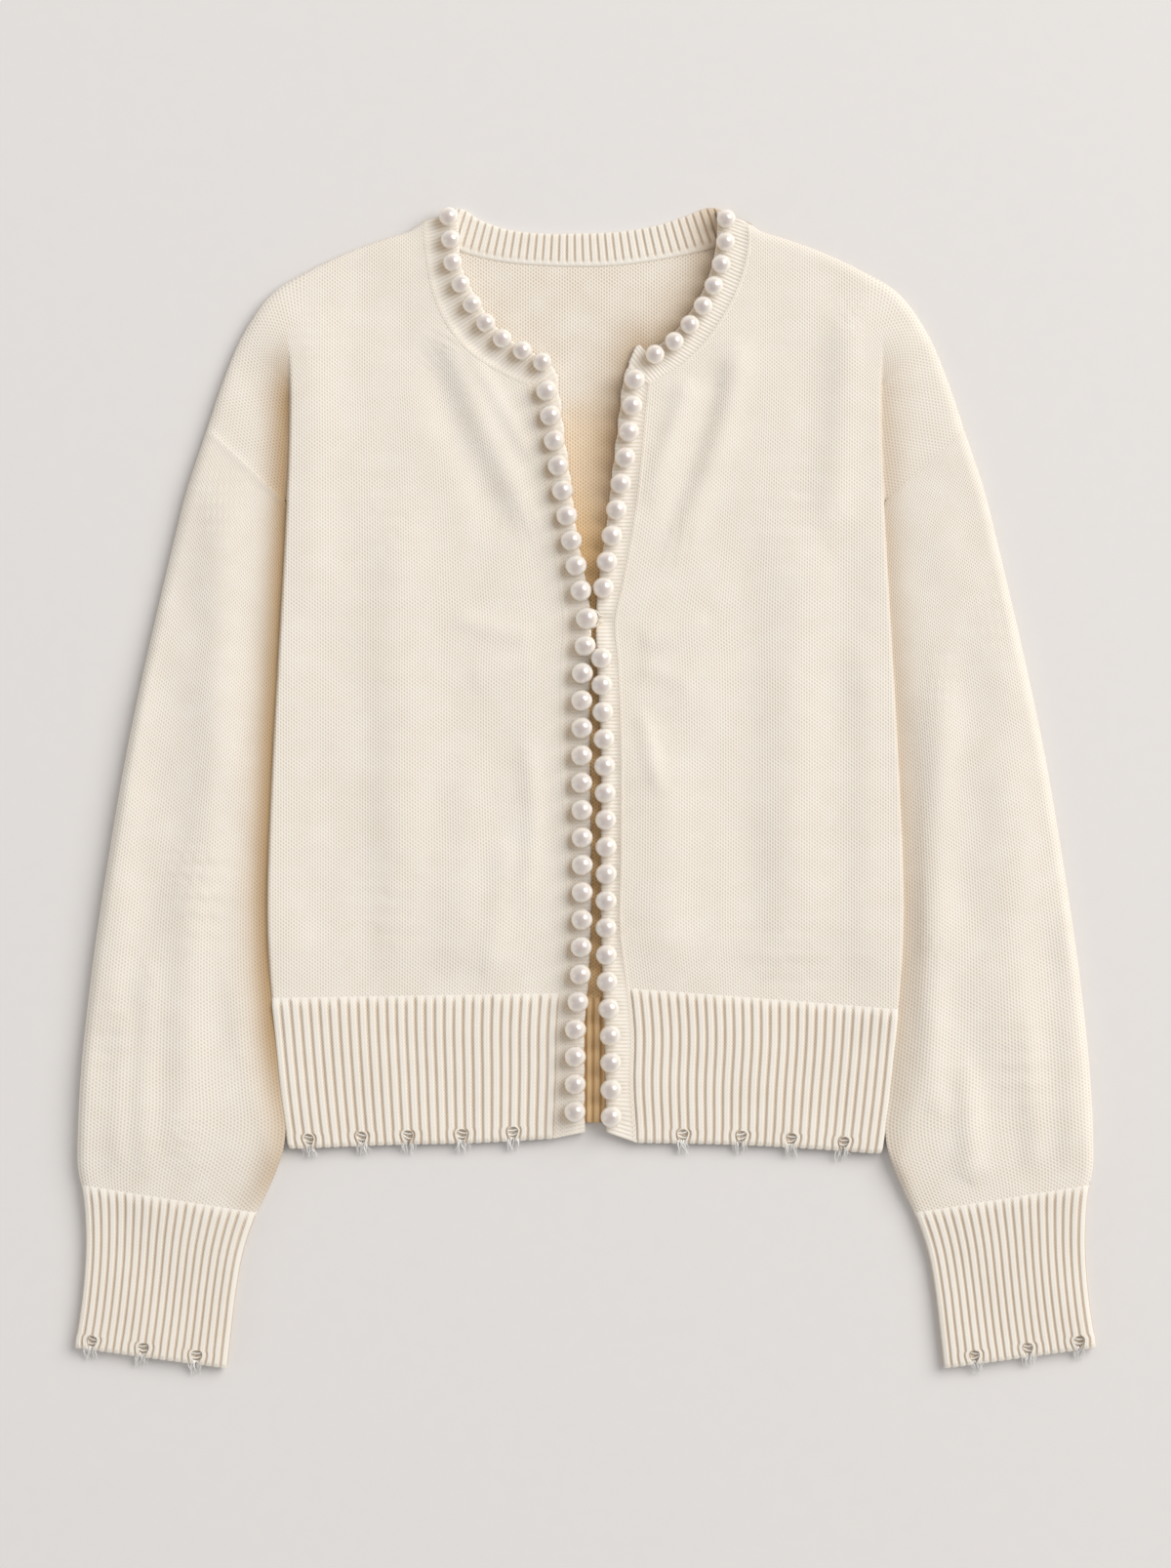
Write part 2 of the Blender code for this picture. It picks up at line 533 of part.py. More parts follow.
def front_panel(name, side, neck, band, hem_top):
    plan, keep, fold_column, armpit_row = front_plan(side, neck, band, hem_top)
    close_seams(plan, fold_column, armpit_row)
    beside = np.zeros(plan.shape[:2], bool)
    beside[:, :fold_column] = True
    height = front_height(plan, beside) + LAYER_GAP / 2
    grid = np.concatenate([plan, height[..., None]], -1)
    normal = grid_normals(grid)
    normal[armpit_row + 1:, fold_column] = grid_normals(grid[armpit_row + 1:, fold_column:])[:, 0]
    end = np.s_[armpit_row, :fold_column + 1]
    square_to(normal, end, np.gradient(grid[armpit_row, :fold_column + 1], axis=0))
    level_out(normal, np.s_[0, :], plan, OUTER_EDGE)
    level_out(normal, np.s_[:armpit_row + 1, 0], plan, OUTER_EDGE)
    level_out(normal, np.s_[armpit_row + 1:, fold_column], plan, SIDE_EDGE)
    square_to(normal, np.s_[:, -1], np.gradient(grid[:, -1], axis=0))
    square_to(normal, np.s_[-1, fold_column:], np.gradient(grid[-1, fold_column:], axis=0))
    return cloth_wall(name, grid, grid - JERSEY * normal, CREAM, keep)


# --- back panel ----------------------------------------------------------------------------------
BACK_ROWS = 5


def under_height(points, edge):
    """Outer face of the layer on the floor: flat, turned up at the fold edge."""
    reach = crown(distance(points, edge) / UNDER_ROLL)
    return (SIDE_SEAM_Z - LAYER_GAP / 2) * (1 - reach)


def back_panel():
    """One wall from side to side: two shoulders above the neckline, flaps outside the armholes."""
    shoulder_y = smooth(OUTLINE["x"], OUTLINE["y"], BODY_SIDE["x"][0])
    bends = (0, 45)
    steps = roll_steps(shoulder_y - FOLD_TOP_Y, SLOPE_ROLL * UNDER_ROLL, 2, bends)
    upper = np.concatenate([shoulder_y - steps, np.linspace(FOLD_TOP_Y, ARMPIT[1], 4)[1:]])
    armpit_row = len(upper) - 1
    low = BACK_HEM_TOP + SEAM_GAP / 2
    side_y = np.concatenate([upper, np.linspace(ARMPIT[1], low, BACK_ROWS + 1)[1:]])
    side_x = smooth(BODY_SIDE["y"], BODY_SIDE["x"], side_y)
    side_line = np.stack([side_x, side_y], -1)
    neck_x = np.array([-84, -77, -70, -58, -44, -24, 0, 24, 44, 58, 70, 78, 86]) * MM
    neck_y = smooth(NECK_BACK["low_x"], NECK_BACK["low_y"], neck_x) - NECK_GAP
    inner_shares = roll_steps(1.0, UNDER_ROLL / (80 * MM), 3, bends)
    left = -side_x[:, None] + (neck_x[0] + side_x)[:, None] * inner_shares
    right = side_x[:, None] + (neck_x[-1] - side_x)[:, None] * inner_shares[::-1]
    x = np.concatenate([left, np.repeat(neck_x[None, 1:-1], len(side_y), 0), right], axis=1)
    top = smooth(OUTLINE["x"], OUTLINE["y"], np.abs(x[0]))
    middle = slice(len(inner_shares) - 1, len(inner_shares) + len(neck_x) - 1)
    top[middle] = neck_y
    down = (side_y[0] - side_y) / (side_y[0] - side_y[-1])
    y = top[None] + (low - top)[None] * down[:, None]
    blend = ease((np.abs(x) - NECK_SIDE_X) / NECK_SIDE_RUN)
    level = side_y[:, None] + (top - side_y[0]) * (1 - ease(down * 4))[:, None]
    y = y + blend * (level - y)
    body = np.stack([x, y], -1)
    flap = flap_plan(1, side_line, armpit_row, bends)
    below = np.repeat(flap[-1:], len(side_y) - armpit_row - 1, axis=0)
    right_flap = np.concatenate([flap, below])[:, ::-1]
    left_flap = np.concatenate([flap, below]) * np.array([-1, 1])
    plan = np.concatenate([left_flap, body, right_flap], axis=1)
    columns = flap.shape[1]
    keep = np.ones((plan.shape[0] - 1, plan.shape[1] - 1), bool)
    keep[armpit_row:, :columns] = False
    keep[armpit_row:, -columns:] = False
    for sign, flap_part in ((-1, np.s_[armpit_row, :columns + 1]),
                            (1, np.s_[armpit_row, -columns - 1:])):
        seam = unit(plan[flap_part][-1] - plan[flap_part][0])
        out = np.array([-seam[1], seam[0]])
        plan[flap_part] += SEAM_GAP / 2 * out * np.sign(out[1])
    points = half(plan)
    rows, cols = plan.shape[:2]
    height = under_height(points, OUTER_EDGE)
    side_height = under_height(points, LOW_SIDE_EDGE)
    height[armpit_row:, columns:cols - columns] = np.maximum(
        height, side_height)[armpit_row:, columns:cols - columns]
    grid = np.concatenate([plan, height[..., None]], -1)
    normal = grid_normals(grid, up=-1.0)
    inner_part = grid_normals(grid[armpit_row + 1:, columns:cols - columns], up=-1.0)
    normal[armpit_row + 1:, columns:cols - columns] = inner_part
    shoulders = np.abs(plan[0, :, 0]) > 86.5 * MM
    normal[0, ~shoulders] = (0, 0, -1)
    level_out(normal, np.s_[0, shoulders], plan, OUTER_EDGE)
    for column in (0, -1):
        level_out(normal, np.s_[:armpit_row + 1, column], plan, OUTER_EDGE)
    for column in (columns, cols - columns - 1):
        level_out(normal, np.s_[armpit_row + 1:, column], plan, SIDE_EDGE)
    bottom = np.s_[-1, columns:cols - columns]
    square_to(normal, bottom, np.gradient(grid[bottom], axis=0))
    for part in (np.s_[armpit_row, :columns + 1], np.s_[armpit_row, -columns - 1:]):
        square_to(normal, part, np.gradient(grid[part], axis=0))
    return cloth_wall("back_panel", grid, grid - JERSEY * normal, CREAM, keep)


# --- sleeves and cuffs ---------------------------------------------------------------------------
SLEEVE_RINGS = 12


def tube_shares(width, roll, top_count, low_count):
    """Shares across a flattened tube: upper run outer to inner edge, then lower run back."""
    bend = roll * (1 - np.cos(np.radians([0, 32, 60, 90]))) / width
    upper = np.concatenate([bend, np.linspace(bend[-1], 1 - bend[-1], top_count + 1)[1:-1],
                            1 - bend[::-1]])
    lower = np.concatenate([1 - bend[1::2], np.linspace(1 - bend[-1], bend[-1], low_count + 1)[1:-1],
                            bend[::-2][:2]])
    return upper, lower


def tube_grid(outer, inner, upper, lower, side):
    """Grid of a flattened tube between two edge lines; shares are per ring or the same for all."""
    upper = np.broadcast_to(upper, (len(outer), np.shape(upper)[-1]))
    lower = np.broadcast_to(lower, (len(outer), np.shape(lower)[-1]))
    across = (inner - outer)[:, None]
    top_plan = outer[:, None] + across * upper[..., None]
    low_plan = outer[:, None] + across * lower[..., None]
    edge_outer = upper * np.linalg.norm(across, axis=-1)
    edge_inner = (1 - upper) * np.linalg.norm(across, axis=-1)
    y = top_plan[..., 1]
    top = arm_height(top_plan) + fold_relief(SLEEVE_FOLDS, top_plan[..., 0], y)
    skew = edge_square(outer, across)
    top = SIDE_SEAM_Z + (top - SIDE_SEAM_Z) * crown(edge_outer * skew / EDGE_ROLL)
    top = SIDE_SEAM_Z + (top - SIDE_SEAM_Z) * crown(edge_inner / EDGE_ROLL)
    low_outer = lower * np.linalg.norm(across, axis=-1) * skew
    low_inner = (1 - lower) * np.linalg.norm(across, axis=-1)
    low = SIDE_SEAM_Z * (1 - crown(low_outer / UNDER_ROLL) * crown(low_inner / UNDER_ROLL))
    grid = np.concatenate([np.concatenate([top_plan, low_plan], 1),
                           np.concatenate([top, low], 1)[..., None]], -1)
    grid[..., 0] *= side
    return grid


def edge_square(outer, across):
    """Sine of the angle between the tube's outer edge and its rings."""
    edge = unit(np.gradient(outer, axis=0))
    ring = unit(across[:, 0])
    return np.abs(edge[:, 0] * ring[:, 1] - edge[:, 1] * ring[:, 0])[:, None]


def sleeve_edges(start, end, count):
    """Outer and inner edge points of the rings between two shares of the sleeve's length."""
    share = np.linspace(start, end, count)
    top_share, low_share = outline_share(SHOULDER_END), outline_share_at_y(CUFF_TOP_OUTER[1])
    outer = path(OUTLINE["x"], OUTLINE["y"], top_share + (low_share - top_share) * share)
    y = ARMPIT[1] + (CUFF_TOP_INNER[1] - ARMPIT[1]) * share
    inner = np.stack([smooth(SLEEVE_INNER["y"], SLEEVE_INNER["x"], y) + SLEEVE_GAP / 2, y], -1)
    return outer, inner


def outline_share_at_y(y):
    """Share of the outline's length where the sleeve's outer edge comes down to Y."""
    shares = np.linspace(outline_share(SHOULDER_END), 1, 400)
    return np.interp(-y, -path(OUTLINE["x"], OUTLINE["y"], shares)[:, 1], shares)


def end_gap(outer, inner, first, last):
    """Draw the first and last ring back from the seams they meet."""
    for row, gap in ((0, first), (-1, last)):
        ring = unit(inner[row] - outer[row])
        out = np.array([-ring[1], ring[0]])
        neighbour = outer[1] if row == 0 else outer[-2]
        out *= np.sign((neighbour - outer[row]) @ out)
        outer[row] += gap * out
        inner[row] += gap * out


def tube_wall(name, grid, top_columns, relief, keep=None):
    """Closed wall of a flattened tube, with ribs raised in its outer skin."""
    normal = grid_normals(grid, wrap=True, up_column=top_columns // 2)
    for row in (0, -1):
        chord = grid[row, top_columns - 1] - grid[row, 0]
        square_to(normal, np.s_[row], np.broadcast_to(chord, grid[row].shape))
    outer = grid + normal * relief[..., None]
    inner = grid - JERSEY * normal
    return cloth_wall(name, outer, inner, CREAM, keep, wrap=True)


def sleeve(name, side):
    outer, inner = sleeve_edges(0, 1, SLEEVE_RINGS)
    end_gap(outer, inner, SEAM_GAP / 2, SEAM_GAP / 2)
    width = np.linalg.norm(inner - outer, axis=-1)
    shares = [tube_shares(w, EDGE_ROLL, 6, 4) for w in width]
    upper = np.stack([s[0] for s in shares])
    lower = np.stack([s[1] for s in shares])
    grid = tube_grid(outer, inner, upper, lower, side)
    return tube_wall(name, grid, upper.shape[1], np.zeros(grid.shape[:2]))


def rip_offsets(count):
    """Half widths of a rip at the last rows of a ribbed piece: top, widest, mouth."""
    return np.array([RIP_HALF_TOP, RIP_HALF_WIDE, RIP_HALF_MOUTH])[-count:]


def cuff(name, side):
    length = np.linalg.norm(CUFF_END_OUTER - CUFF_TOP_OUTER)
    down = np.array([0.0, 0.45, 1 - RIP_HEIGHT / length, 1 - RIP_WIDE_AT / length, 1.0])
    top_share = outline_share_at_y(CUFF_TOP_OUTER[1])
    outer = path(OUTLINE["x"], OUTLINE["y"], top_share + (1 - top_share) * down)
    y = CUFF_TOP_INNER[1] + (CUFF_END_INNER[1] - CUFF_TOP_INNER[1]) * down
    inner = np.stack([smooth(SLEEVE_INNER["y"], SLEEVE_INNER["x"], y), y], -1)
    inner[-1], outer[-1] = CUFF_END_INNER, CUFF_END_OUTER
    end_gap(outer, inner, SEAM_GAP / 2, 0.0)
    columns = 2 * CUFF_RIBS
    upper = np.tile(np.linspace(0, 1, columns + 1), (len(down), 1))
    width = np.linalg.norm(inner - outer, axis=-1)
    centres = [int(round(rip * columns)) for rip in CUFF_RIPS]
    low_lines = []
    for centre in centres:
        for sign in (-1, 1):
            share = np.full(len(down), centre / columns + sign / columns)
            share[-3:] = centre / columns + sign * rip_offsets(3) / width[-3:]
            upper[:, centre + sign] = share
            low_lines.append(share)
    edge = UNDER_ROLL / width
    low_lines = [0.13 * edge] + low_lines + [1 - edge, 1 - 0.13 * edge]
    lower = np.stack(low_lines[::-1], -1)
    grid = tube_grid(outer, inner, upper, lower, side)
    relief = np.zeros(grid.shape[:2])
    relief[:, 1:columns:2] = CUFF_RIB_RISE
    keep = np.ones((grid.shape[0] - 1, grid.shape[1]), bool)
    for centre in centres:
        keep[-2:, centre - 1:centre + 1] = False
    for number in range(len(centres)):
        cell = columns + 1 + 2 + 2 * number
        keep[-2:, cell] = False
    tube_wall(name, grid, columns + 1, relief, keep)
    return grid, centres


# --- hem ribs ------------------------------------------------------------------------------------


def ribbed_grid(side, band, hem, ribs, rips):
    """Grid of a front hem rib: one column on each crest and groove, rips drawn in at the edge."""
    columns = 2 * ribs
    share = np.linspace(0, 1, columns + 1)
    mid_y = (BACK_HEM_TOP + BACK_HEM_LOW) / 2
    mid_side = side * smooth(BODY_SIDE["y"], BODY_SIDE["x"], mid_y)
    mid_x = mid_side + (smooth(band["y"], band["seam"], mid_y) - mid_side) * share
    top = smooth(hem["x"], hem["top"], mid_x) - SEAM_GAP / 2
    low = smooth(hem["x"], hem["low"], mid_x)
    rows = np.stack([top, low + RIP_HEIGHT, low + RIP_WIDE_AT, low])
    side_x = side * smooth(BODY_SIDE["y"], BODY_SIDE["x"], rows)
    seam_y = hem_rows(band, hem)[:, None]
    band_x = smooth(band["y"], band["seam"], seam_y) + side * SEAM_GAP / 2
    x = side_x + (band_x - side_x) * share
    keep = np.ones((len(rows) - 1, columns), bool)
    centres = []
    for rip in rips:
        centre = int(np.argmin(np.abs(x[-1] - rip * MM)))
        centres.append(centre)
        direction = np.sign(x[-1, -1] - x[-1, 0])
        for sign in (-1, 1):
            x[-3:, centre + sign] = x[-3:, centre] + direction * sign * rip_offsets(3)
        keep[-2:, centre - 1:centre + 1] = False
    return np.stack([x, rows], -1), keep, centres


def front_hem(name, side, band, hem, ribs, rips):
    plan, keep, centres = ribbed_grid(side, band, hem, ribs, rips)
    points = half(plan)
    loft = 0.5 * SIDE_LOFT * np.exp(-(distance(points, LOW_SIDE_EDGE) / SIDE_LOFT_WIDTH) ** 2)
    height = HEM_HEIGHT + loft
    edge = crown(distance(points, LOW_SIDE_EDGE) / EDGE_ROLL)
    height = SIDE_SEAM_Z + LAYER_GAP / 2 + (height - SIDE_SEAM_Z) * edge
    grid = np.concatenate([plan, height[..., None]], -1)
    normal = grid_normals(grid)
    level_out(normal, np.s_[:, 0], plan, SIDE_EDGE)
    for row in (0, -1):
        square_to(normal, np.s_[row], np.gradient(grid[row], axis=0))
    square_to(normal, np.s_[:, -1], np.gradient(grid[:, -1], axis=0))
    relief = np.zeros(plan.shape[:2])
    relief[:, 1::2] = HEM_RIB_RISE
    outer = grid + normal * relief[..., None]
    cloth_wall(name, outer, grid - RIB_CLOTH * normal, CREAM, keep)
    return grid, centres


def back_hem():
    """Plain outside, flat on the floor; the side edges turn up to the front hem."""
    y = np.linspace(BACK_HEM_TOP - SEAM_GAP / 2, BACK_HEM_LOW, 4)
    side_x = smooth(BODY_SIDE["y"], BODY_SIDE["x"], y)
    bend = roll_steps(0.5, UNDER_ROLL / (2 * side_x.mean()), 5)
    share = np.concatenate([bend, 1 - bend[-2::-1]])
    x = -side_x[:, None] + 2 * side_x[:, None] * share
    plan = np.stack([x, np.repeat(y[:, None], len(share), 1)], -1)
    height = under_height(half(plan), LOW_SIDE_EDGE)
    grid = np.concatenate([plan, height[..., None]], -1)
    normal = grid_normals(grid, up=-1.0)
    for column in (0, -1):
        level_out(normal, np.s_[:, column], plan, SIDE_EDGE)
    for row in (0, -1):
        square_to(normal, np.s_[row], np.gradient(grid[row], axis=0))
    return cloth_wall("hem_rib_back", grid, grid - RIB_CLOTH * normal, CREAM)


# --- neckband and front bands ----------------------------------------------------------------------


def strip_wall(name, first, last, columns, top, relief, thickness=BAND_CLOTH):
    """A flat strip between two edge lines with a level underside and slightly rounded edges."""
    share = np.asarray(columns)
    plan = first[:, None] + (last - first)[:, None] * share[:, None]
    dome = EDGE_DROP * (crown(4.4 * np.minimum(share, 1 - share)) - 1)
    height = np.broadcast_to(top, plan.shape[:2]) + dome + relief
    outer = np.concatenate([plan, height[..., None]], -1)
    under = np.broadcast_to(top - thickness, plan.shape[:2])
    inner = np.concatenate([plan, np.array(under)[..., None]], -1)
    return cloth_wall(name, outer, inner, CREAM)


def neckband_back():
    """Back neckband, inner side up, with its ribs."""
    count = 2 * NECK_RIBS
    share = np.linspace(0, 1, count + 1)
    top = path(NECK_BACK["top_x"], NECK_BACK["top_y"], share)
    low = path(NECK_BACK["low_x"], NECK_BACK["low_y"], share)
    relief = np.zeros((count + 1, 2))
    relief[1::2] = NECK_RIB_RISE
    return strip_wall("neckband_back", top, low, [0, 1], JERSEY, relief, JERSEY)


def along_line(line, share):
    """Points at shares of the length of a polyline."""
    length = np.concatenate([[0.0], np.cumsum(np.linalg.norm(np.diff(line, axis=0), axis=-1))])
    at = share * length[-1]
    return np.stack([np.interp(at, length, line[:, 0]), np.interp(at, length, line[:, 1])], -1)


def neckband_front(name, neck, seam, count):
    share = np.linspace(0, 1, count + 1)
    outer = along_line(seam, share)
    inner = path(neck["inner_x"], neck["inner_y"], share)
    outer += SEAM_GAP / 2 * unit(inner - outer)
    relief = np.zeros((count + 1, 4))
    return strip_wall(name, outer, inner, [0, 0.12, 0.55, 1], BAND_TOP, relief)


def front_band(name, band, seam_line, rows, side):
    """Front band; its front edge swells between the pearls and is drawn in at each of them."""
    y = np.linspace(band["y"][0] - SEAM_GAP, band["y"][-1], rows + 1)
    rise = BAND_SLANT * (1 - ease((y[0] - y) / BAND_SLANT_RUN))
    seam_x = np.interp(-y, -seam_line[:, 1], seam_line[:, 0])
    seam = np.stack([seam_x - side * SEAM_GAP / 2, y], -1)
    edge = np.stack([smooth(band["y"], band["edge"], y), y + rise], -1)
    edge[1::2, 0] += side * BAND_SCALLOP
    relief = np.zeros((rows + 1, 3))
    return strip_wall(name, seam, edge, [0, 0.5, 1], BAND_TOP, relief)


# --- pearls, button and loop -----------------------------------------------------------------------


def turned(name, centres, headings, radii, sides, material):
    """A closed round form: rings of the given radii square to their headings, capped at the ends."""
    turn = (np.arange(sides) + 0.5) * 2 * math.pi / sides
    side = unit(np.cross(headings, (0, 0, 1.0)))
    up = np.cross(side, headings)
    spokes = np.cos(turn)[:, None] * side[:, None] + np.sin(turn)[:, None] * up[:, None]
    rings = centres[:, None] + radii[:, None, None] * spokes
    count = len(rings)
    faces = [[i * sides + k, i * sides + (k + 1) % sides,
              (i + 1) * sides + (k + 1) % sides, (i + 1) * sides + k]
             for i in range(count - 1) for k in range(sides)]
    faces.append(list(range(sides))[::-1])
    faces.append([(count - 1) * sides + k for k in range(sides)])
    return new_object(name, rings.reshape(-1, 3), faces, material)


def pearl_string(name, plan, diameter):
    """Pearls on their sewing thread, resting on the band: one round form along their centres."""
    radius = diameter / 2 * PEARL_SWELL
    height = np.full(len(plan), BAND_TOP + LAYER_GAP + radius)
    centres = np.concatenate([plan, height[:, None]], -1)
    heading = unit(np.gradient(centres, axis=0)) if len(plan) > 1 else np.array([[0, -1.0, 0]])
    lean = math.asin(THREAD / 2 / radius)
    angles = np.array([lean, math.radians(48), math.radians(90), math.radians(132), math.pi - lean])
    middles = centres[:, None] - radius * np.cos(angles)[:, None] * heading[:, None]
    radii = np.tile(radius * np.sin(angles), len(plan))
    headings = np.repeat(heading, len(angles), axis=0)
    return turned(name, middles.reshape(-1, 3), headings, radii, PEARL_SIDES, PEARL_FINISH)


def front_pearls(name, band, top, low, count):
    y = np.linspace(top, low, count)
    return pearl_string(name, np.stack([smooth(band["y"], band["pearl"], y), y], -1), PEARL)


def neck_pearls(name, neck, first, last, inset, count):
    """Pearls along the neckline, `inset` (share of the band's width) in from its inner edge."""
    share = np.linspace(first, last, count)
    outer = path(neck["outer_x"], neck["outer_y"], share)
    inner = path(neck["inner_x"], neck["inner_y"], share)
    inset = np.linspace(inset[0], inset[1], count)[:, None]
    return pearl_string(name, inner + (outer - inner) * inset, NECK_PEARL)


def fastening_loop():
    """Yarn loop sewn to the right band, round the foot of the button pearl."""
    centre = np.array([smooth(BAND_LEFT["y"], BAND_LEFT["pearl"], BUTTON_Y), BUTTON_Y])
    turn = np.radians(np.linspace(50, 310, 9))
    arc = centre + LOOP_RADIUS * np.stack([np.cos(turn), np.sin(turn)], -1)
    tail = LOOP_TAIL * np.array([1, 0])
    plan = np.concatenate([[arc[0] + tail], arc, [arc[-1] + tail]])
    height = np.full(len(plan), BAND_TOP + LAYER_GAP + LOOP_YARN / 2)
    centres = np.concatenate([plan, height[:, None]], -1)
    radii = np.full(len(plan), LOOP_YARN / 2)
    return turned("fastening_loop", centres, unit(np.gradient(centres, axis=0)), radii, 5, CREAM)


# --- loose yarn ends in the rips -------------------------------------------------------------------


def fray(name, edge_point, inner_point, number):
    """Torn yarn: a strip across the widest part of a rip and three strands that hang from it."""
    down = unit(edge_point[:2] - inner_point[:2])
    across = np.array([-down[1], down[0]])
    mouth = RIP_HALF_MOUTH - 0.35 * MM
    half_width = RIP_HALF_WIDE - 0.6 * MM
    ends = np.roll([1.0, 0.72, 0.88], number) * FRAY_REACH
    splay = np.array([-1.0, 0.15, 1.0]) * FRAY_SPLAY
    backing = half_width * np.array([-1, -0.66, -0.17, 0.17, 0.66, 1])
    throat = mouth * np.array([-1, -0.45, -0.27, 0.27, 0.45, 1])
    tips = np.stack([splay - FRAY_TIP, splay + FRAY_TIP], -1).ravel()
    x = np.array([backing, backing, throat, tips])
    along = np.array([np.full(6, -RIP_WIDE_AT), np.full(6, -RIP_WIDE_AT + YARN),
                      np.full(6, 0.3 * MM), np.repeat(ends, 2)])
    top = FRAY_ROWS["top"][:, None]
    thick = FRAY_ROWS["thickness"][:, None]
    plan = edge_point[:2] + x[..., None] * across + along[..., None] * down
    upper = np.concatenate([plan, np.broadcast_to(top, x.shape)[..., None]], -1)
    lower = np.concatenate([plan, np.broadcast_to(top - thick, x.shape)[..., None]], -1)
    keep = np.ones((3, 5), bool)
    keep[1:, 1::2] = False
    return cloth_wall(name, upper, lower, YARN_WHITE, keep)


def frays(prefix, grid, centres):
    for number, centre in enumerate(centres, 1):
        fray(f"{prefix}_{number}", grid[-1, centre], grid[-3, centre], number)


def build():
    hem_top_left = (HEM_LEFT["top"][0] + SEAM_GAP / 2, HEM_LEFT["top"][-1] + SEAM_GAP / 2)
    hem_top_right = (HEM_RIGHT["top"][-1] + SEAM_GAP / 2, HEM_RIGHT["top"][0] + SEAM_GAP / 2)
    back_panel()
    front_panel("front_panel_left", -1, NECK_LEFT, BAND_LEFT, hem_top_left)
    front_panel("front_panel_right", 1, NECK_RIGHT, BAND_RIGHT, hem_top_right)
    sleeve("sleeve_left", -1)
    sleeve("sleeve_right", 1)
    frays("fray_cuff_left", *cuff("cuff_left", -1))
    frays("fray_cuff_right", *cuff("cuff_right", 1))
    frays("fray_hem_left", *front_hem("hem_rib_front_left", -1, BAND_LEFT, HEM_LEFT,
                                      HEM_RIBS_LEFT, HEM_RIPS_LEFT))
    frays("fray_hem_right", *front_hem("hem_rib_front_right", 1, BAND_RIGHT, HEM_RIGHT,
                                       HEM_RIBS_RIGHT, HEM_RIPS_RIGHT))
    back_hem()
    neckband_back()
    neck_seam, band_seam = centre_seams(-1, NECK_LEFT, BAND_LEFT, HEM_LEFT, hem_top_left)
    neckband_front("neckband_front_left", NECK_LEFT, neck_seam, 16)
    front_band("front_band_left", BAND_LEFT, band_seam, 56, -1)
    neck_seam, band_seam = centre_seams(1, NECK_RIGHT, BAND_RIGHT, HEM_RIGHT, hem_top_right)
    neckband_front("neckband_front_right", NECK_RIGHT, neck_seam, 16)
    front_band("front_band_right", BAND_RIGHT, band_seam, 56, 1)
    for name, neck, first, last, inset, count in NECK_PEARLS:
        neck_pearls(name, neck, first, last, inset, count)
    for name, band, top, low, count in FRONT_PEARLS:
        front_pearls(name, band, top * MM, low * MM, count)
    button = np.array([[smooth(BAND_LEFT["y"], BAND_LEFT["pearl"], BUTTON_Y), BUTTON_Y]])
    pearl_string("button_pearl", button, BUTTON_PEARL)
    fastening_loop()


for leftover in list(bpy.data.objects):
    bpy.data.objects.remove(leftover, do_unlink=True)
COLLECTION = bpy.data.collections.new("open_front_cardigan")
bpy.context.scene.collection.children.link(COLLECTION)
CREAM = knit_material("cream_knit", (0.83, 0.76, 0.64), 0.9)
PEARL_FINISH = knit_material("pearl", (0.86, 0.80, 0.76), 0.25)
YARN_WHITE = knit_material("yarn_ends", (0.90, 0.87, 0.82), 0.9)
build()
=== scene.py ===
"""Dresses the open-front cardigan: knit, ribs, folds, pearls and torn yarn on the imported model.

The garment lies on Z = 0, neck towards +Y, and is seen from straight above.  Every piece is a
surface worked out on a grid: plan points between the piece's cut edges, a height for each point
from the way the cloth lies, and a second skin one cloth thickness inside.  Stitches follow a UV map
that counts wales (u) and courses (v), so the knit turns with the cloth on the dropped shoulders,
down the sleeves and along the ribs.
"""

import math

import bpy
import numpy as np
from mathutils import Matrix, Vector


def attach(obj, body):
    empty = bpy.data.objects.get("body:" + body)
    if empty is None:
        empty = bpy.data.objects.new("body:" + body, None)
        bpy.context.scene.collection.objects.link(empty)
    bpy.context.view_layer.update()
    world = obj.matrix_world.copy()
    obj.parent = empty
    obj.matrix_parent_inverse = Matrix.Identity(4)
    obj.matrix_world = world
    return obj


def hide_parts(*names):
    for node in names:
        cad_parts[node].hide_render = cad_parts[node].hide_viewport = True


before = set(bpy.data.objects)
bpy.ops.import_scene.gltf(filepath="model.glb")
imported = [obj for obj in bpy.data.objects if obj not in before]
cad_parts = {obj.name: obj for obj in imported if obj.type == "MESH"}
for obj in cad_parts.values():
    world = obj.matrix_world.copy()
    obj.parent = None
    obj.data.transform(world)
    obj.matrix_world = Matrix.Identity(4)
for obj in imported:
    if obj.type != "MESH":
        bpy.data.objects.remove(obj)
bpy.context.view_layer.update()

bl_info = {
    "name": "Open-front cardigan",
    "version": (1, 0, 0),
    "blender": (4, 5, 0),
    "location": "View3D > Sidebar > Cardigan",
    "description": "Makes a cropped pearl-trimmed cardigan, laid flat, "
                   "with its knit, ribs and folds",
    "category": "Add Mesh",
}

MM = 0.001

# --- cloth ---
JERSEY = 2.2 * MM
BAND_CLOTH = 3.0 * MM
LAYER_GAP = 0.4 * MM
SHELF = 2.5 * MM             # the sleeve's upper layer starts this far over the side seam
SEAM_TUCK = 0.5 * MM         # a sewn edge runs this far under its neighbour
SEAM_DROP = 0.15 * MM        # and lies this much lower there
SEWN_OVER = 1.1 * MM         # the sleeve's inner edge lies this much closer than its solid

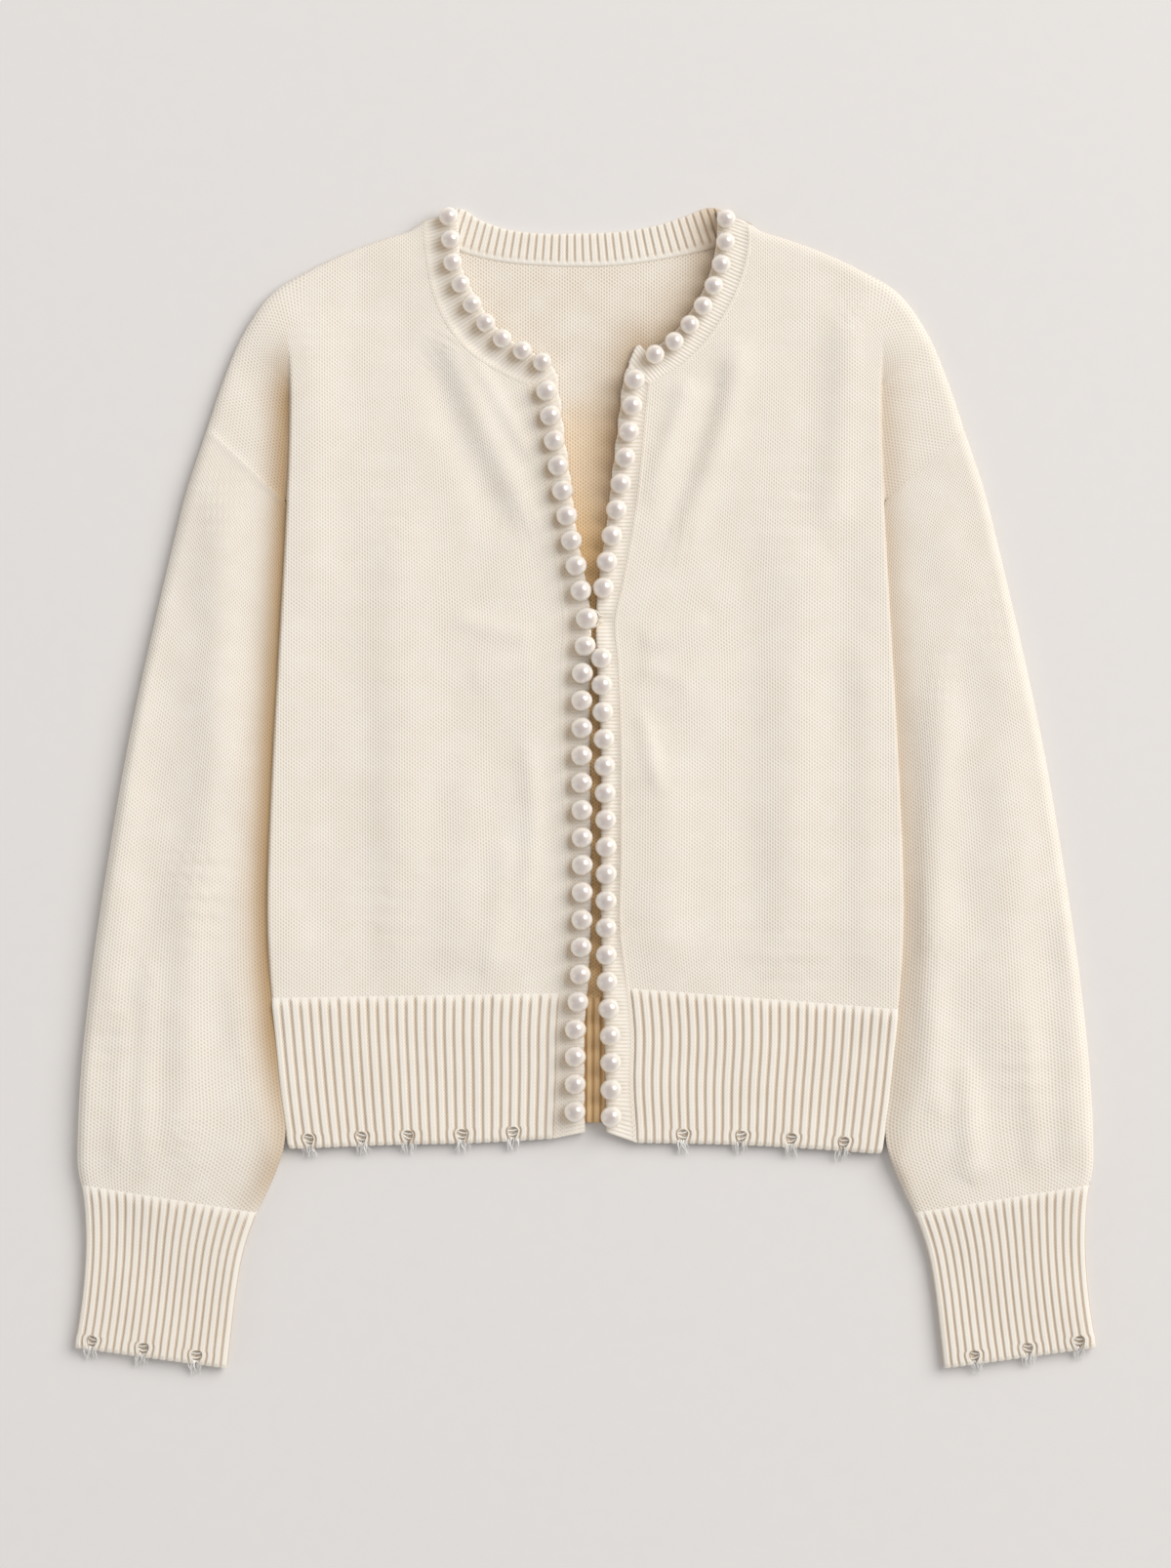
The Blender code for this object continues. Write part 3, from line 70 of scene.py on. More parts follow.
# --- how the cloth lies ---
SIDE_SEAM_Z = 5.0 * MM
EDGE_ROLL = 6.0 * MM
FOLD_ROLL = 2.0 * MM         # tighter rounding where the body folds at its side
UNDER_ROLL = 5.0 * MM
SLOPE_ROLL = 1.16            # a rounding is this much wider measured straight down the shoulder
BODY_HEIGHT = 7.4 * MM
SIDE_LOFT = 2.4 * MM
SIDE_LOFT_WIDTH = 26.0 * MM
HEM_HEIGHT = 6.2 * MM
BAND_TOP = 6.4 * MM
FOLD_TOP_Y = 250.0 * MM
FOLD_RUN = 36.0 * MM
VALLEY_REACH = 12.0 * MM     # width of the shade beside the body's folded sides
SEAM_RIDGE = 0.5 * MM        # the armhole seam stands up as a soft line
SEAM_RIDGE_WIDTH = 1.7 * MM
CREASE_FADE = 0.22           # a crease fades in and out over this share of its line
WAVE_SHARE = 0.0022          # height of the cloth's slow waves for their length
WAVE_LENGTHS = (95, 61, 43, 29, 19)     # millimetres
ARM_CALM = 12.0 * MM         # creases of the sleeve fade out over this beside the body
HEM_BLEND_Y = -112.0 * MM    # from HEM_BLEND above this the fronts come down to the rib
HEM_BLEND = 30.0 * MM
OUTER_LOFT = 4.5 * MM        # heights of the outline's rounding above and below its middle
UNDER_LOFT = 4.8 * MM
RIM_SHADE = 0.75             # shade of the body's own folded edge
RIM_REACH = 1.3 * MM
SHADE_LEFT = 1.0             # strength of the shade beside the body, left and right
SHADE_RIGHT = 0.45
CORNER_LIFT = 2.6 * MM       # the hem's lower corner at the side is drawn up by this
CORNER_RUN = 3.4 * MM
EDGE_FALL = 0.9 * MM         # rounding of the free rib edges
EDGE_FALL_RUN = 2.6 * MM

# --- ribs ---
HEM_RIBS_LEFT = 30
HEM_RIBS_RIGHT = 29
BACK_HEM_RIBS = 80
CUFF_RIBS = 20
NECK_RIBS = 39
WALES_PER_RIB = 3            # two knitted, one turned back
RIB_FADE = 3.4 * MM          # ribs grow to full height over about this, below their upper seam
RIB_END = 2.4 * MM           # and settle over this towards their free edge
RIB_END_SHARE = 0.4          # to this share of their height
SEAM_ROW = 0.0005            # a second row of points this share below a sewn edge
# Rows of points above a free edge.
EDGE_ROWS = np.concatenate([np.linspace(14.0, 0.9, 22), [0.5, 0.25, 0.1, 0.0]]) * MM
BACK_RIB_RISE = 0.7 * MM
NECK_RIB_RISE = 0.9 * MM

# --- trim ---
BUTTON_Y = 96.4 * MM
PEARL_SEAT = 0.45 * MM       # how far a pearl settles below its stand-in
LOOP_YARN = 1.1 * MM
LOOP_TAIL = 2.0 * MM
LOOP_RADIUS = 4.9 * MM
LOOP_TURNS = 14              # the loop's two plies wind round each other
PLY_RADIUS = 0.38 * MM
PLY_REACH = 0.22 * MM
PEARL_RISE = 1.05            # radii from the band's top to a pearl's centre, before it settles
HOLE_ANGLE = 0.16            # a thread hole opens at this angle from the string
HOLE_BOTTOM = 0.90           # and goes in to this share of the radius
BAND_ROUND = 1.5 * MM        # rounding of the bands' free edges
BAND_SLANT = 12.5 * MM
BAND_SLANT_RUN = 34.0 * MM

# --- rips ---
RIP_HEIGHT = 7.8 * MM
RIP_WIDE_AT = 5.4 * MM
RIP_HALF_WIDE = 2.7 * MM
RIP_HALF_MOUTH = 0.6 * MM
RIP_PUSH = 4.0 * MM          # how far from a rip the ribs give way
STRANDS = ((6.4, 5.9, 0.7), (4.6, 5.4, 1.5))    # way in from the edge, height, sag
STRAND_RADIUS = 0.42 * MM
FIBRES = 9                   # at either side of a rip's mouth
FIBRE_REACH = (2.2, 6.8)     # below the edge, in millimetres
FIBRE_RADIUS = (0.24, 0.46)
# painted shade on the cloth behind each rip
BACKING_PAINTED_SHADE = 0.22

# --- how fine the grids are ---
FINE_BENDS = (0, 14, 26, 37, 48, 58, 68, 79)


def table(columns, *rows):
    """Columns of a millimetre table as arrays in metres, under their names."""
    values = np.array(rows, float) * MM
    return dict(zip(columns.split(), values.T))


OUTLINE = table(
    "x y",
    (88.0, 316.5), (97.0, 310.5), (108.0, 307.0), (129.5, 299.3), (151.0, 289.3),
    (172.8, 276.0), (189.0, 253.6), (200.0, 228.0), (209.2, 200.8), (221.0, 164.7),
    (228.0, 136.6), (238.2, 93.4), (252.3, 28.6), (263.5, -36.0), (273.0, -101.0),
    (279.5, -166.0), (280.4, -187.0), (280.2, -208.0), (277.6, -221.0),
    (276.2, -240.0), (278.9, -285.0), (282.2, -306.0))
SHOULDER_CORNER = 5.78
SHOULDER_END = 8
SHOULDER_LIFT = 45.0 * MM
NECK_SIDE_X = 90.0 * MM
NECK_SIDE_RUN = 70.0 * MM

BODY_SIDE = table(
    "y x",
    (290.0, 163.4), (252.0, 163.4), (190.0, 164.0), (147.0, 166.0), (93.0, 169.0),
    (28.6, 172.7), (-36.0, 175.6), (-63.0, 176.2), (-101.0, 174.8),
    (-133.0, 171.9), (-166.0, 168.4), (-200.0, 163.6))
SLEEVE_INNER = table(
    "y x",
    (158.0, 166.2), (93.0, 169.6), (28.6, 173.3), (-36.0, 176.2),
    (-63.0, 176.8), (-101.0, 175.4), (-133.0, 172.5), (-166.0, 169.0),
    (-187.0, 166.6), (-198.0, 168.2), (-209.0, 172.0), (-220.0, 176.8),
    (-232.0, 182.6), (-252.0, 189.6), (-274.0, 193.8), (-295.0, 196.4),
    (-318.0, 199.0))
ARMPIT = np.array([165.8, 160.0]) * MM
CUFF_TOP_OUTER = np.array([278.2, -216.0]) * MM
CUFF_TOP_INNER = np.array([182.2, -231.5]) * MM
CUFF_END_OUTER = np.array([282.2, -305.8]) * MM
CUFF_END_INNER = np.array([198.9, -317.5]) * MM
SLEEVE_LOFT = table(
    "y height inner_rise",
    (320.0, 9.2, 26.0), (160.0, 9.6, 26.0), (60.0, 10.4, 24.0),
    (-60.0, 11.0, 20.0), (-150.0, 11.6, 13.0), (-190.0, 11.4, 9.0),
    (-216.0, 9.2, 7.0), (-235.0, 7.4, 6.0), (-320.0, 6.8, 6.0))
BAND_LEFT = table(
    "y seam edge pearl",
    (224.5, -32.8, -17.6, -21.8), (204.0, -28.6, -13.6, -18.6),
    (182.5, -24.3, -10.3, -15.3), (144.7, -18.9, -5.9, -8.7),
    (112.3, -14.9, 0.0, -2.6), (95.0, -12.6, 2.0, 0.8),
    (72.0, -14.0, 1.2, -1.4), (28.6, -14.2, 1.2, -2.0),
    (-79.4, -11.4, 1.6, -2.2), (-106.0, -14.0, 0.4, -3.2),
    (-128.0, -15.8, -1.5, -5.4), (-154.0, -16.3, -1.6, -5.6),
    (-187.0, -17.6, -1.4, -5.9))
BAND_RIGHT = table(
    "y seam edge pearl",
    (224.5, 36.0, 22.6, 27.0), (190.6, 33.2, 17.0, 22.6),
    (152.8, 28.9, 13.0, 16.5), (115.0, 22.2, 8.0, 10.1),
    (96.0, 18.2, 6.6, 8.8), (72.0, 19.8, 7.2, 8.8),
    (28.6, 21.2, 9.2, 10.2), (-36.0, 21.2, 9.3, 11.4),
    (-79.4, 21.0, 9.5, 11.4), (-104.0, 24.2, 10.4, 11.9),
    (-133.0, 27.0, 11.4, 13.7), (-160.0, 26.6, 12.0, 14.0),
    (-187.0, 28.2, 12.4, 14.3))
NECK_LEFT = table(
    "outer_x outer_y inner_x inner_y",
    (-90.2, 315.6, -70.4, 321.6), (-89.6, 306.0, -69.7, 306.0),
    (-88.5, 296.5, -69.0, 293.2), (-85.0, 277.0, -62.6, 278.1),
    (-77.8, 260.0, -55.6, 266.2), (-67.5, 246.4, -48.1, 256.5),
    (-54.0, 235.8, -38.9, 248.9), (-41.5, 229.0, -29.2, 243.5),
    (-32.0, 225.0, -19.0, 236.5))
NECK_RIGHT = table(
    "outer_x outer_y inner_x inner_y",
    (91.4, 314.6, 72.6, 321.6), (91.6, 305.0, 72.4, 305.6),
    (90.4, 295.0, 70.2, 293.2), (84.6, 276.0, 65.0, 278.1),
    (74.6, 258.0, 57.2, 265.1), (62.8, 243.0, 49.6, 255.4),
    (50.6, 232.6, 40.2, 247.4), (43.5, 228.4, 33.8, 244.4),
    (38.5, 226.0, 29.6, 247.6), (35.6, 225.0, 23.8, 238.2))
NECK_BACK = table(
    "top_x top_y low_x low_y",
    (-78.0, 321.0, -84.0, 309.6), (-70.0, 323.4, -70.4, 300.0),
    (-58.3, 317.0, -59.4, 296.5), (-43.2, 311.8, -44.3, 293.5),
    (-24.8, 309.6, -25.9, 291.9), (-5.4, 309.6, -4.3, 291.2),
    (17.8, 310.6, 17.8, 291.8), (40.5, 314.4, 38.9, 294.6),
    (55.6, 319.4, 58.9, 298.4), (69.4, 323.8, 72.4, 302.0),
    (78.6, 321.4, 86.0, 310.2))
HEM_LEFT = table(
    "x top low",
    (-164.0, -113.0, -196.0), (-110.0, -112.4, -194.0),
    (-60.0, -111.4, -192.9), (-17.0, -110.4, -190.6))
HEM_RIGHT = table(
    "x top low",
    (28.0, -107.6, -192.9), (85.0, -112.4, -194.0),
    (130.0, -116.2, -196.2), (164.0, -119.2, -198.6))
BACK_HEM_TOP = -113.0 * MM
BACK_HEM_LOW = -182.0 * MM

NECK_PEARLS = [("pearls_neck_left", NECK_LEFT, 0.02, 0.96, (0.26, 0.10), 9),
               ("pearls_neck_right", NECK_RIGHT, 0.03, 0.84, (0.26, 0.22), 8)]
FRONT_PEARLS = [("pearls_front_left_upper", BAND_LEFT, 221.9, 111.8, 9),
                ("pearls_front_left_lower", BAND_LEFT, 81.3, -175.3, 18),
                ("pearls_front_right_upper", BAND_RIGHT, 228.0, 113.2, 9),
                ("pearls_front_right_lower", BAND_RIGHT, 74.5, -178.2, 18)]
HEM_RIPS_LEFT = [-152.3, -123.0, -97.2, -68.0, -40.0]
HEM_RIPS_RIGHT = [53.5, 85.9, 113.4, 142.0]
CUFF_RIPS = [0.110, 0.440, 0.790]

# Creases of the front: a ridge (rise > 0) or trough along a bent line through three points.
FRONT_CREASES = table(
    "x1 y1 x2 y2 x3 y3 width rise",
    (-79.9, 260.8, -58.1, 206.2, -21.6, 131.2, 9.0, 2.5),
    (-88.0, 255.4, -69.2, 196.4, -38.8, 136.6, 11.0, -1.5),
    (-70.2, 258.8, -48.6, 217.6, -26.9, 179.8, 5.0, 1.2),
    (-150.3, 276.2, -149.1, 179.8, -150.2, 83.4, 15.0, 1.4),
    (-110.7, 176.6, -102.7, 50.2, -110.7, -99.4, 19.0, 2.2),
    (-118.2, 71.0, -120.9, -20.0, -119.8, -110.6, 10.0, -0.9),
    (-35.1, 39.4, -29.2, -20.0, -38.8, -68.2, 6.0, 1.2),
    (-45.4, -20.4, -47.5, -63.2, -56.0, -108.4, 8.0, 1.3),
    (-69.0, 30.0, -66.0, -40.0, -70.0, -110.0, 13.0, 1.0),
    (84.8, 256.7, 72.8, 196.0, 42.8, 121.1, 9.0, 2.7),
    (76.0, 244.0, 62.5, 190.0, 40.0, 130.0, 7.0, -1.8),
    (58.7, 231.1, 47.9, 201.4, 33.4, 156.2, 6.0, 1.8),
    (118.1, 190.0, 114.5, 28.6, 116.1, -125.0, 19.0, 2.6),
    (92.0, 120.0, 90.0, 20.0, 92.0, -110.0, 15.0, -1.1),
    (36.0, 40.6, 43.0, -30.0, 42.0, -110.0, 16.0, 1.8),
    (144.7, 276.2, 141.5, 206.8, 133.0, 130.4, 11.0, 2.0),
    (153.9, 98.4, 154.9, 0.0, 151.2, -108.0, 10.0, 1.2),
    (30.0, 50.0, 36.0, 22.0, 43.0, -4.0, 5.0, 1.1),
    (-26.0, 88.0, -50.0, 90.0, -76.0, 100.0, 6.0, 1.0),
    (-24.0, 74.0, -46.0, 68.0, -66.0, 60.0, 6.0, 0.7),
    (28.0, 84.0, 48.0, 88.0, 70.0, 100.0, 6.0, 1.0),
    (28.0, 70.0, 46.0, 64.0, 62.0, 56.0, 6.0, 0.7))
# Creases of the sleeves, in laid-out coordinates.
SLEEVE_CREASES = table(
    "x1 y1 x2 y2 x3 y3 width rise",
    (-202.0, 186.0, -202.5, 61.0, -214.3, -94.0, 14.0, 3.0),
    (-218.0, -20.0, -219.7, -118.0, -222.0, -214.0, 13.0, 2.6),
    (-243.0, 103.4, -254.9, -20.0, -263.5, -165.0, 10.0, 2.0),
    (-238.7, -81.0, -242.9, -155.8, -243.0, -218.0, 7.5, 1.8),
    (-186.0, 50.0, -189.0, -60.0, -186.0, -160.0, 9.0, 1.3),
    (-252.0, -110.0, -257.0, -170.0, -257.0, -214.0, 6.0, 1.1),
    (196.5, 86.0, 192.7, -20.0, 189.0, -100.0, 10.0, 2.8),
    (191.0, -70.0, 190.0, -130.0, 196.0, -190.0, 9.0, 2.0),
    (207.5, -140.0, 211.6, -185.0, 212.6, -218.0, 7.5, 2.2),
    (228.0, 130.0, 234.0, -20.0, 236.0, -190.0, 17.0, 2.4),
    (262.0, -50.0, 268.0, -140.0, 267.0, -214.0, 7.5, 1.4),
    (242.0, -110.0, 246.0, -170.0, 248.0, -216.0, 7.5, 1.2))
# Creases pressed into the back from below.
BACK_CREASES = table(
    "x1 y1 x2 y2 x3 y3 width rise",
    (-120.0, 230.0, -96.0, 120.0, -104.0, -20.0, 11.0, 0.5),
    (-40.0, 180.0, -52.0, 40.0, -44.0, -80.0, 9.0, 0.4),
    (60.0, 210.0, 48.0, 90.0, 58.0, -60.0, 12.0, 0.5),
    (128.0, 160.0, 118.0, 20.0, 126.0, -96.0, 9.0, 0.45),
    (-140.0, 60.0, -132.0, -20.0, -138.0, -90.0, 8.0, 0.4))


# --- curves and fields ---


def smooth(xs, ys, at):
    """Smooth curve through the points (xs, ys): cubic pieces with averaged slopes, ends held."""
    order = np.argsort(xs)
    xs, ys = xs[order], ys[order]
    slope = np.gradient(ys, xs)
    at = np.clip(at, xs[0], xs[-1])
    i = np.clip(np.searchsorted(xs, at) - 1, 0, len(xs) - 2)
    h = xs[i + 1] - xs[i]
    f = (at - xs[i]) / h
    return ((1 + 2 * f) * (1 - f) ** 2 * ys[i] + f * (1 - f) ** 2 * h * slope[i]
            + f * f * (3 - 2 * f) * ys[i + 1] + f * f * (f - 1) * h * slope[i + 1])


def path(xs, ys, share):
    """Points at shares (0 to 1) of the length of the smooth path through (xs, ys)."""
    length = np.concatenate([[0.0], np.cumsum(np.hypot(np.diff(xs), np.diff(ys)))])
    at = np.asarray(share) * length[-1]
    return np.stack([smooth(length, xs, at), smooth(length, ys, at)], -1)


def edge_of(piece, edge, share):
    """Points along one edge of a piece's table, at shares of its length."""
    return path(piece[edge + "_x"], piece[edge + "_y"], share)


def outline_at(share):
    """Points of the garment's outline at shares of its length, shoulder to cuff."""
    return path(OUTLINE["x"], OUTLINE["y"], share)


def body_side(y):
    """X of the body's folded side at heights in Y, measured outwards."""
    return smooth(BODY_SIDE["y"], BODY_SIDE["x"], y)


def band_at(band, line, y):
    """X of a front band's line (seam, edge or pearl) at heights in Y."""
    return smooth(band["y"], band[line], y)


def between(first, last, share):
    """Plan grid of straight rows from one edge line to the other, at the given shares."""
    return first[:, None] + (last - first)[:, None] * share[:, None]


def raised(plan, height):
    """Grid of points from a plan grid and its heights."""
    return np.concatenate([plan, height[..., None]], -1)


def stitch_map(wales, courses):
    """Stitch map of a grid from its wale and course numbers."""
    return np.stack(np.broadcast_arrays(wales, courses), -1)


def bell(away, width):
    """The normal curve, e to the power -(away / width)^2: 1 at no distance."""
    return np.exp(-(away / width) ** 2)


def distance(points, line):
    """Plan distance from each point to a polyline: the least of those to its pieces."""
    a, b = line[:-1], line[1:]
    ab = b - a
    offset = points[..., None, :2] - a
    f = np.clip((offset * ab).sum(-1) / (ab * ab).sum(-1), 0, 1)
    return np.sqrt(((offset - f[..., None] * ab) ** 2).sum(-1)).min(-1)


def crown(reach):
    """Quarter round, the root of 1 - (1 - reach)^2: 0 at the edge, 1 from reach 1 inwards."""
    return np.sqrt(np.clip(1 - (1 - np.clip(reach, 0, 1)) ** 2, 0, 1))


def ease(value):
    """Smooth step 3 v^2 - 2 v^3 from 0 to 1, held outside."""
    value = np.clip(value, 0, 1)
    return value * value * (3 - 2 * value)


def fade_in_above(y, level, run):
    """Smooth step in Y: 0 up to `level`, 1 from `run` above it."""
    return ease((y - level) / run)


def fade_in_below(y, level, run):
    """Smooth step in Y: 0 down to `level`, 1 from `run` below it."""
    return ease((level - y) / run)


def unit(vectors):
    """Vectors divided by their lengths."""
    return vectors / (np.linalg.norm(vectors, axis=-1, keepdims=True) + 1e-12)


def crease_relief(creases, points):
    """Sum of a table's creases: a bell across each bent line, fading towards both its ends.

    The line is the quadratic curve through its three points; a point's place along it is that of
    the nearest of the line's samples.
    """
    total = np.zeros(points.shape[:-1])
    t = np.linspace(0, 1, 33)
    for x1, y1, x2, y2, x3, y3, width, rise in zip(*creases.values()):
        first, middle, last = np.array([x1, y1]), np.array([x2, y2]), np.array([x3, y3])
        bend = 2 * middle - (first + last) / 2
        line = ((1 - t) ** 2)[:, None] * first + (2 * t * (1 - t))[:, None] * bend
        line = line + (t ** 2)[:, None] * last
        near = (np.abs(points[..., 0] - middle[0]) < 6 * width + abs(x3 - x1))
        spot = points[near]
        gap = ((spot[:, None] - line) ** 2).sum(-1)
        at = t[gap.argmin(-1)]
        across = np.exp(-distance(spot, line) ** 2 / width ** 2)
        total[near] += rise * across * ease(at / CREASE_FADE) * ease((1 - at) / CREASE_FADE)
    return total


def waviness(points, seed, size=1.0):
    """Slow unevenness of soft cloth, about 0.2 mm: a sum of sines in seeded directions."""
    chance = np.random.default_rng(seed)
    total = np.zeros(points.shape[:-1])
    for length in WAVE_LENGTHS:
        turn, phase = chance.uniform(0, 2 * math.pi, 2)
        along = points[..., 0] * math.cos(turn) + points[..., 1] * math.sin(turn)
        total += WAVE_SHARE * length * MM * np.sin(2 * math.pi * along / (length * MM) + phase)
    return total * size


OUTER_EDGE = outline_at(np.linspace(0, 1, 320))
SIDE_Y = np.linspace(FOLD_TOP_Y, -200 * MM, 90)
SIDE_EDGE = np.stack([body_side(SIDE_Y), SIDE_Y], -1)
LOW_SIDE_EDGE = SIDE_EDGE[SIDE_Y <= ARMPIT[1]]


def shoulder_top(x):
    """Height in Y of the shoulder line at X, read between the outline's points."""
    line = OUTER_EDGE[:np.argmax(OUTER_EDGE[:, 0] > 215 * MM)]
    return np.interp(x, line[:, 0], line[:, 1])


def half(points):
    """Plan points with X measured outwards from the centre line."""
    return np.stack([np.abs(points[..., 0]), points[..., 1]], -1)


def seam_line():
    """The armhole seam, from the shoulder's edge to the armpit, in half coordinates."""
    top = np.array([OUTLINE["x"][SHOULDER_END], OUTLINE["y"][SHOULDER_END]])
    return np.stack([top, ARMPIT])


def arm_height(plan):
    """Upper layer of the sleeve and of the shoulder beside the fold, before the outer rounding.

    From the fold it rises slowly to its full loft, so the body's edge stands above it.
    """
    points = half(plan)
    inner = distance(points, SIDE_EDGE)
    y = points[..., 1]
    plateau = smooth(SLEEVE_LOFT["y"], SLEEVE_LOFT["height"], y)
    rise = smooth(SLEEVE_LOFT["y"], SLEEVE_LOFT["inner_rise"], y)
    low = SIDE_SEAM_Z + SHELF
    ridge = SEAM_RIDGE * bell(distance(points, seam_line()), SEAM_RIDGE_WIDTH)
    level = low + (plateau - low) * ease((inner + 4 * MM) / (1.5 * rise + 4 * MM)) + ridge
    away = ease(inner / ARM_CALM)
    return level + away * (crease_relief(SLEEVE_CREASES, plan) + waviness(plan, 11))


def body_height(plan):
    """Upper face of the front panels inside the side edge.

    The rib's height, going over into the body's above the hem, with a bell of loft along the side
    and the creases on top.
    """
    points = half(plan)
    side = distance(points, SIDE_EDGE)
    y = points[..., 1]
    loft = SIDE_LOFT * bell(side, SIDE_LOFT_WIDTH)
    hem = fade_in_above(y, HEM_BLEND_Y, HEM_BLEND)
    level = HEM_HEIGHT + (BODY_HEIGHT - HEM_HEIGHT) * hem + loft
    return level + crease_relief(FRONT_CREASES, plan) + waviness(plan, 3)


def front_height(plan, beside_fold):
    """Upper face of a front panel; `beside_fold` marks the points outside the armhole fold.

    Inside, the body's face falls to the shelf by a quarter round at the fold; outside, it goes over
    into the sleeve's face down the fold.  A quarter round takes both to the seam at the outline.
    """
    points = half(plan)
    y = points[..., 1]
    depth = fade_in_below(y, FOLD_TOP_Y, FOLD_RUN)
    top = body_height(plan)
    arm = arm_height(plan)
    shelf = np.where(y > ARMPIT[1], SIDE_SEAM_Z + SHELF, SIDE_SEAM_Z)
    side = crown(distance(points, SIDE_EDGE) / FOLD_ROLL)
    inside = top - depth * (top - shelf) * (1 - side)
    outside = top + depth * (arm - top)
    height = np.where(beside_fold, outside, inside)
    outer = crown(distance(points, OUTER_EDGE) / EDGE_ROLL)
    return SIDE_SEAM_Z + (height - SIDE_SEAM_Z) * outer


def roll_steps(length, roll, count, bends=FINE_BENDS):
    """Distances from a rounded edge: roll (1 - cos a) at the bends, then even steps to `length`."""
    bend = roll * (1 - np.cos(np.radians(bends)))
    rest = roll + (length - roll) * np.linspace(0, 1, count)
    return np.concatenate([bend, rest])


def fold_painted_shade(points):
    """Painted shade beside the body's folded side: a bell of the distance, faded at both ends."""
    side = distance(points, SIDE_EDGE)
    y = points[..., 1]
    ends = fade_in_below(y, 262 * MM, 50 * MM) * fade_in_above(y, -190 * MM, 60 * MM)
    return bell(side, VALLEY_REACH) * ends


# --- meshes ---


def grid_normals(grid, wrap=False, up_column=None, up=1.0):
    """Unit normals of a grid; the normals of `up_column` point up (or down where up is -1)."""
    if wrap:
        across = np.roll(grid, -1, 1) - np.roll(grid, 1, 1)
    else:
        across = np.gradient(grid, axis=1)
    normal = unit(np.cross(np.gradient(grid, axis=0), across))
    sample = normal[..., 2] if up_column is None else normal[:, up_column, 2]
    return normal if sample.mean() * up > 0 else -normal


def level_out(normal, where, plan, line):
    """Turn the normals of a fold edge level and square to it, so the two layers meet flush."""
    points = half(plan[where])
    nearest = np.linalg.norm(points[..., None, :] - line, axis=-1).argmin(-1)
    tangent = unit(np.gradient(line, axis=0))[nearest]
    normal[where] = np.stack([-tangent[..., 1] * np.sign(plan[where][..., 0]),
                              tangent[..., 0], np.zeros(tangent.shape[:-1])], -1)


def round_over(normal, plan, roll, loft, up):
    """Normals in the rounding of the garment's outline, from the quarter ellipse of its section.

    Outwards by what is left of the rounding over its reach, upwards by what is reached over its
    loft; both layers come out level at the very edge.
    """
    points = half(plan)
    away = distance(points, OUTER_EDGE)
    near = away < 1.6 * MM
    nearest = np.linalg.norm(points[near][:, None] - OUTER_EDGE, axis=-1).argmin(-1)
    tangent = unit(np.gradient(OUTER_EDGE, axis=0))[nearest]
    left = (1 - away[near] / roll) / roll
    normal[near] = unit(np.stack([-tangent[:, 1] * np.sign(plan[near][:, 0]) * left,
                                  tangent[:, 0] * left, up * crown(away[near] / roll) / loft], -1))


def square_to(normal, where, along):
    """Keep the wall's end at a seam in the upright plane that holds the seam line."""
    out = unit(np.stack([-along[..., 1], along[..., 0], np.zeros(along.shape[:-1])], -1))
    chosen = normal[where]
    normal[where] = unit(chosen - (chosen * out).sum(-1, keepdims=True) * out)


def square_along(normal, grid, where):
    """The same, along a row or column of the grid."""
    square_to(normal, where, np.gradient(grid[where], axis=0))


def knit_faces(grid, normal, relief, tuck):
    """The two faces of a knit wall; their first row is tucked under what it is sewn to."""
    faces = grid + normal * relief[..., None], grid - JERSEY * normal
    for face in faces:
        face[0] += tuck
    return faces


def cell_corners(field):
    """Values at the four corners of each cell of a grid field, in ring order."""
    return np.stack([field[:-1, :-1], field[1:, :-1], field[1:, 1:], field[:-1, 1:]], 2)


def mesh_object(name, points, faces, slots, face_slots, uv, fields, rounded=None):
    """A mesh object from arrays of quads, with its stitch map and its point attributes."""
    used, faces = np.unique(faces, return_inverse=True)
    faces = faces.reshape(-1, 4)
    points = points[used]
    a, b, c, d = (points[faces[:, k]] for k in range(4))
    volume = (a * np.cross(b, c)).sum() + (a * np.cross(c, d)).sum()
    if volume < 0:
        faces, uv = faces[:, ::-1], uv[:, ::-1]
    mesh = bpy.data.meshes.new(name)
    mesh.vertices.add(len(points))
    mesh.vertices.foreach_set("co", points.astype(np.float32).ravel())
    mesh.loops.add(faces.size)
    mesh.loops.foreach_set("vertex_index", faces.astype(np.int32).ravel())
    mesh.polygons.add(len(faces))
    mesh.polygons.foreach_set("loop_start", np.arange(0, faces.size, 4, dtype=np.int32))
    mesh.polygons.foreach_set("material_index", face_slots.astype(np.int32))
    rounded = np.ones(len(faces), bool) if rounded is None else rounded
    mesh.polygons.foreach_set("use_smooth", rounded)
    layer = mesh.uv_layers.new(name="stitches")
    layer.uv.foreach_set("vector", uv.astype(np.float32).ravel())
    for field, values in fields.items():
        attribute = mesh.attributes.new(field, "FLOAT", "POINT")
        attribute.data.foreach_set("value", values[used].astype(np.float32))
    for slot in slots:
        mesh.materials.append(slot)
    mesh.update(calc_edges=True)
    mesh.validate()
    mesh.set_sharp_from_angle(angle=math.radians(70))
    piece = bpy.data.objects.new(name, mesh)
    bpy.context.scene.collection.objects.link(piece)
    return piece


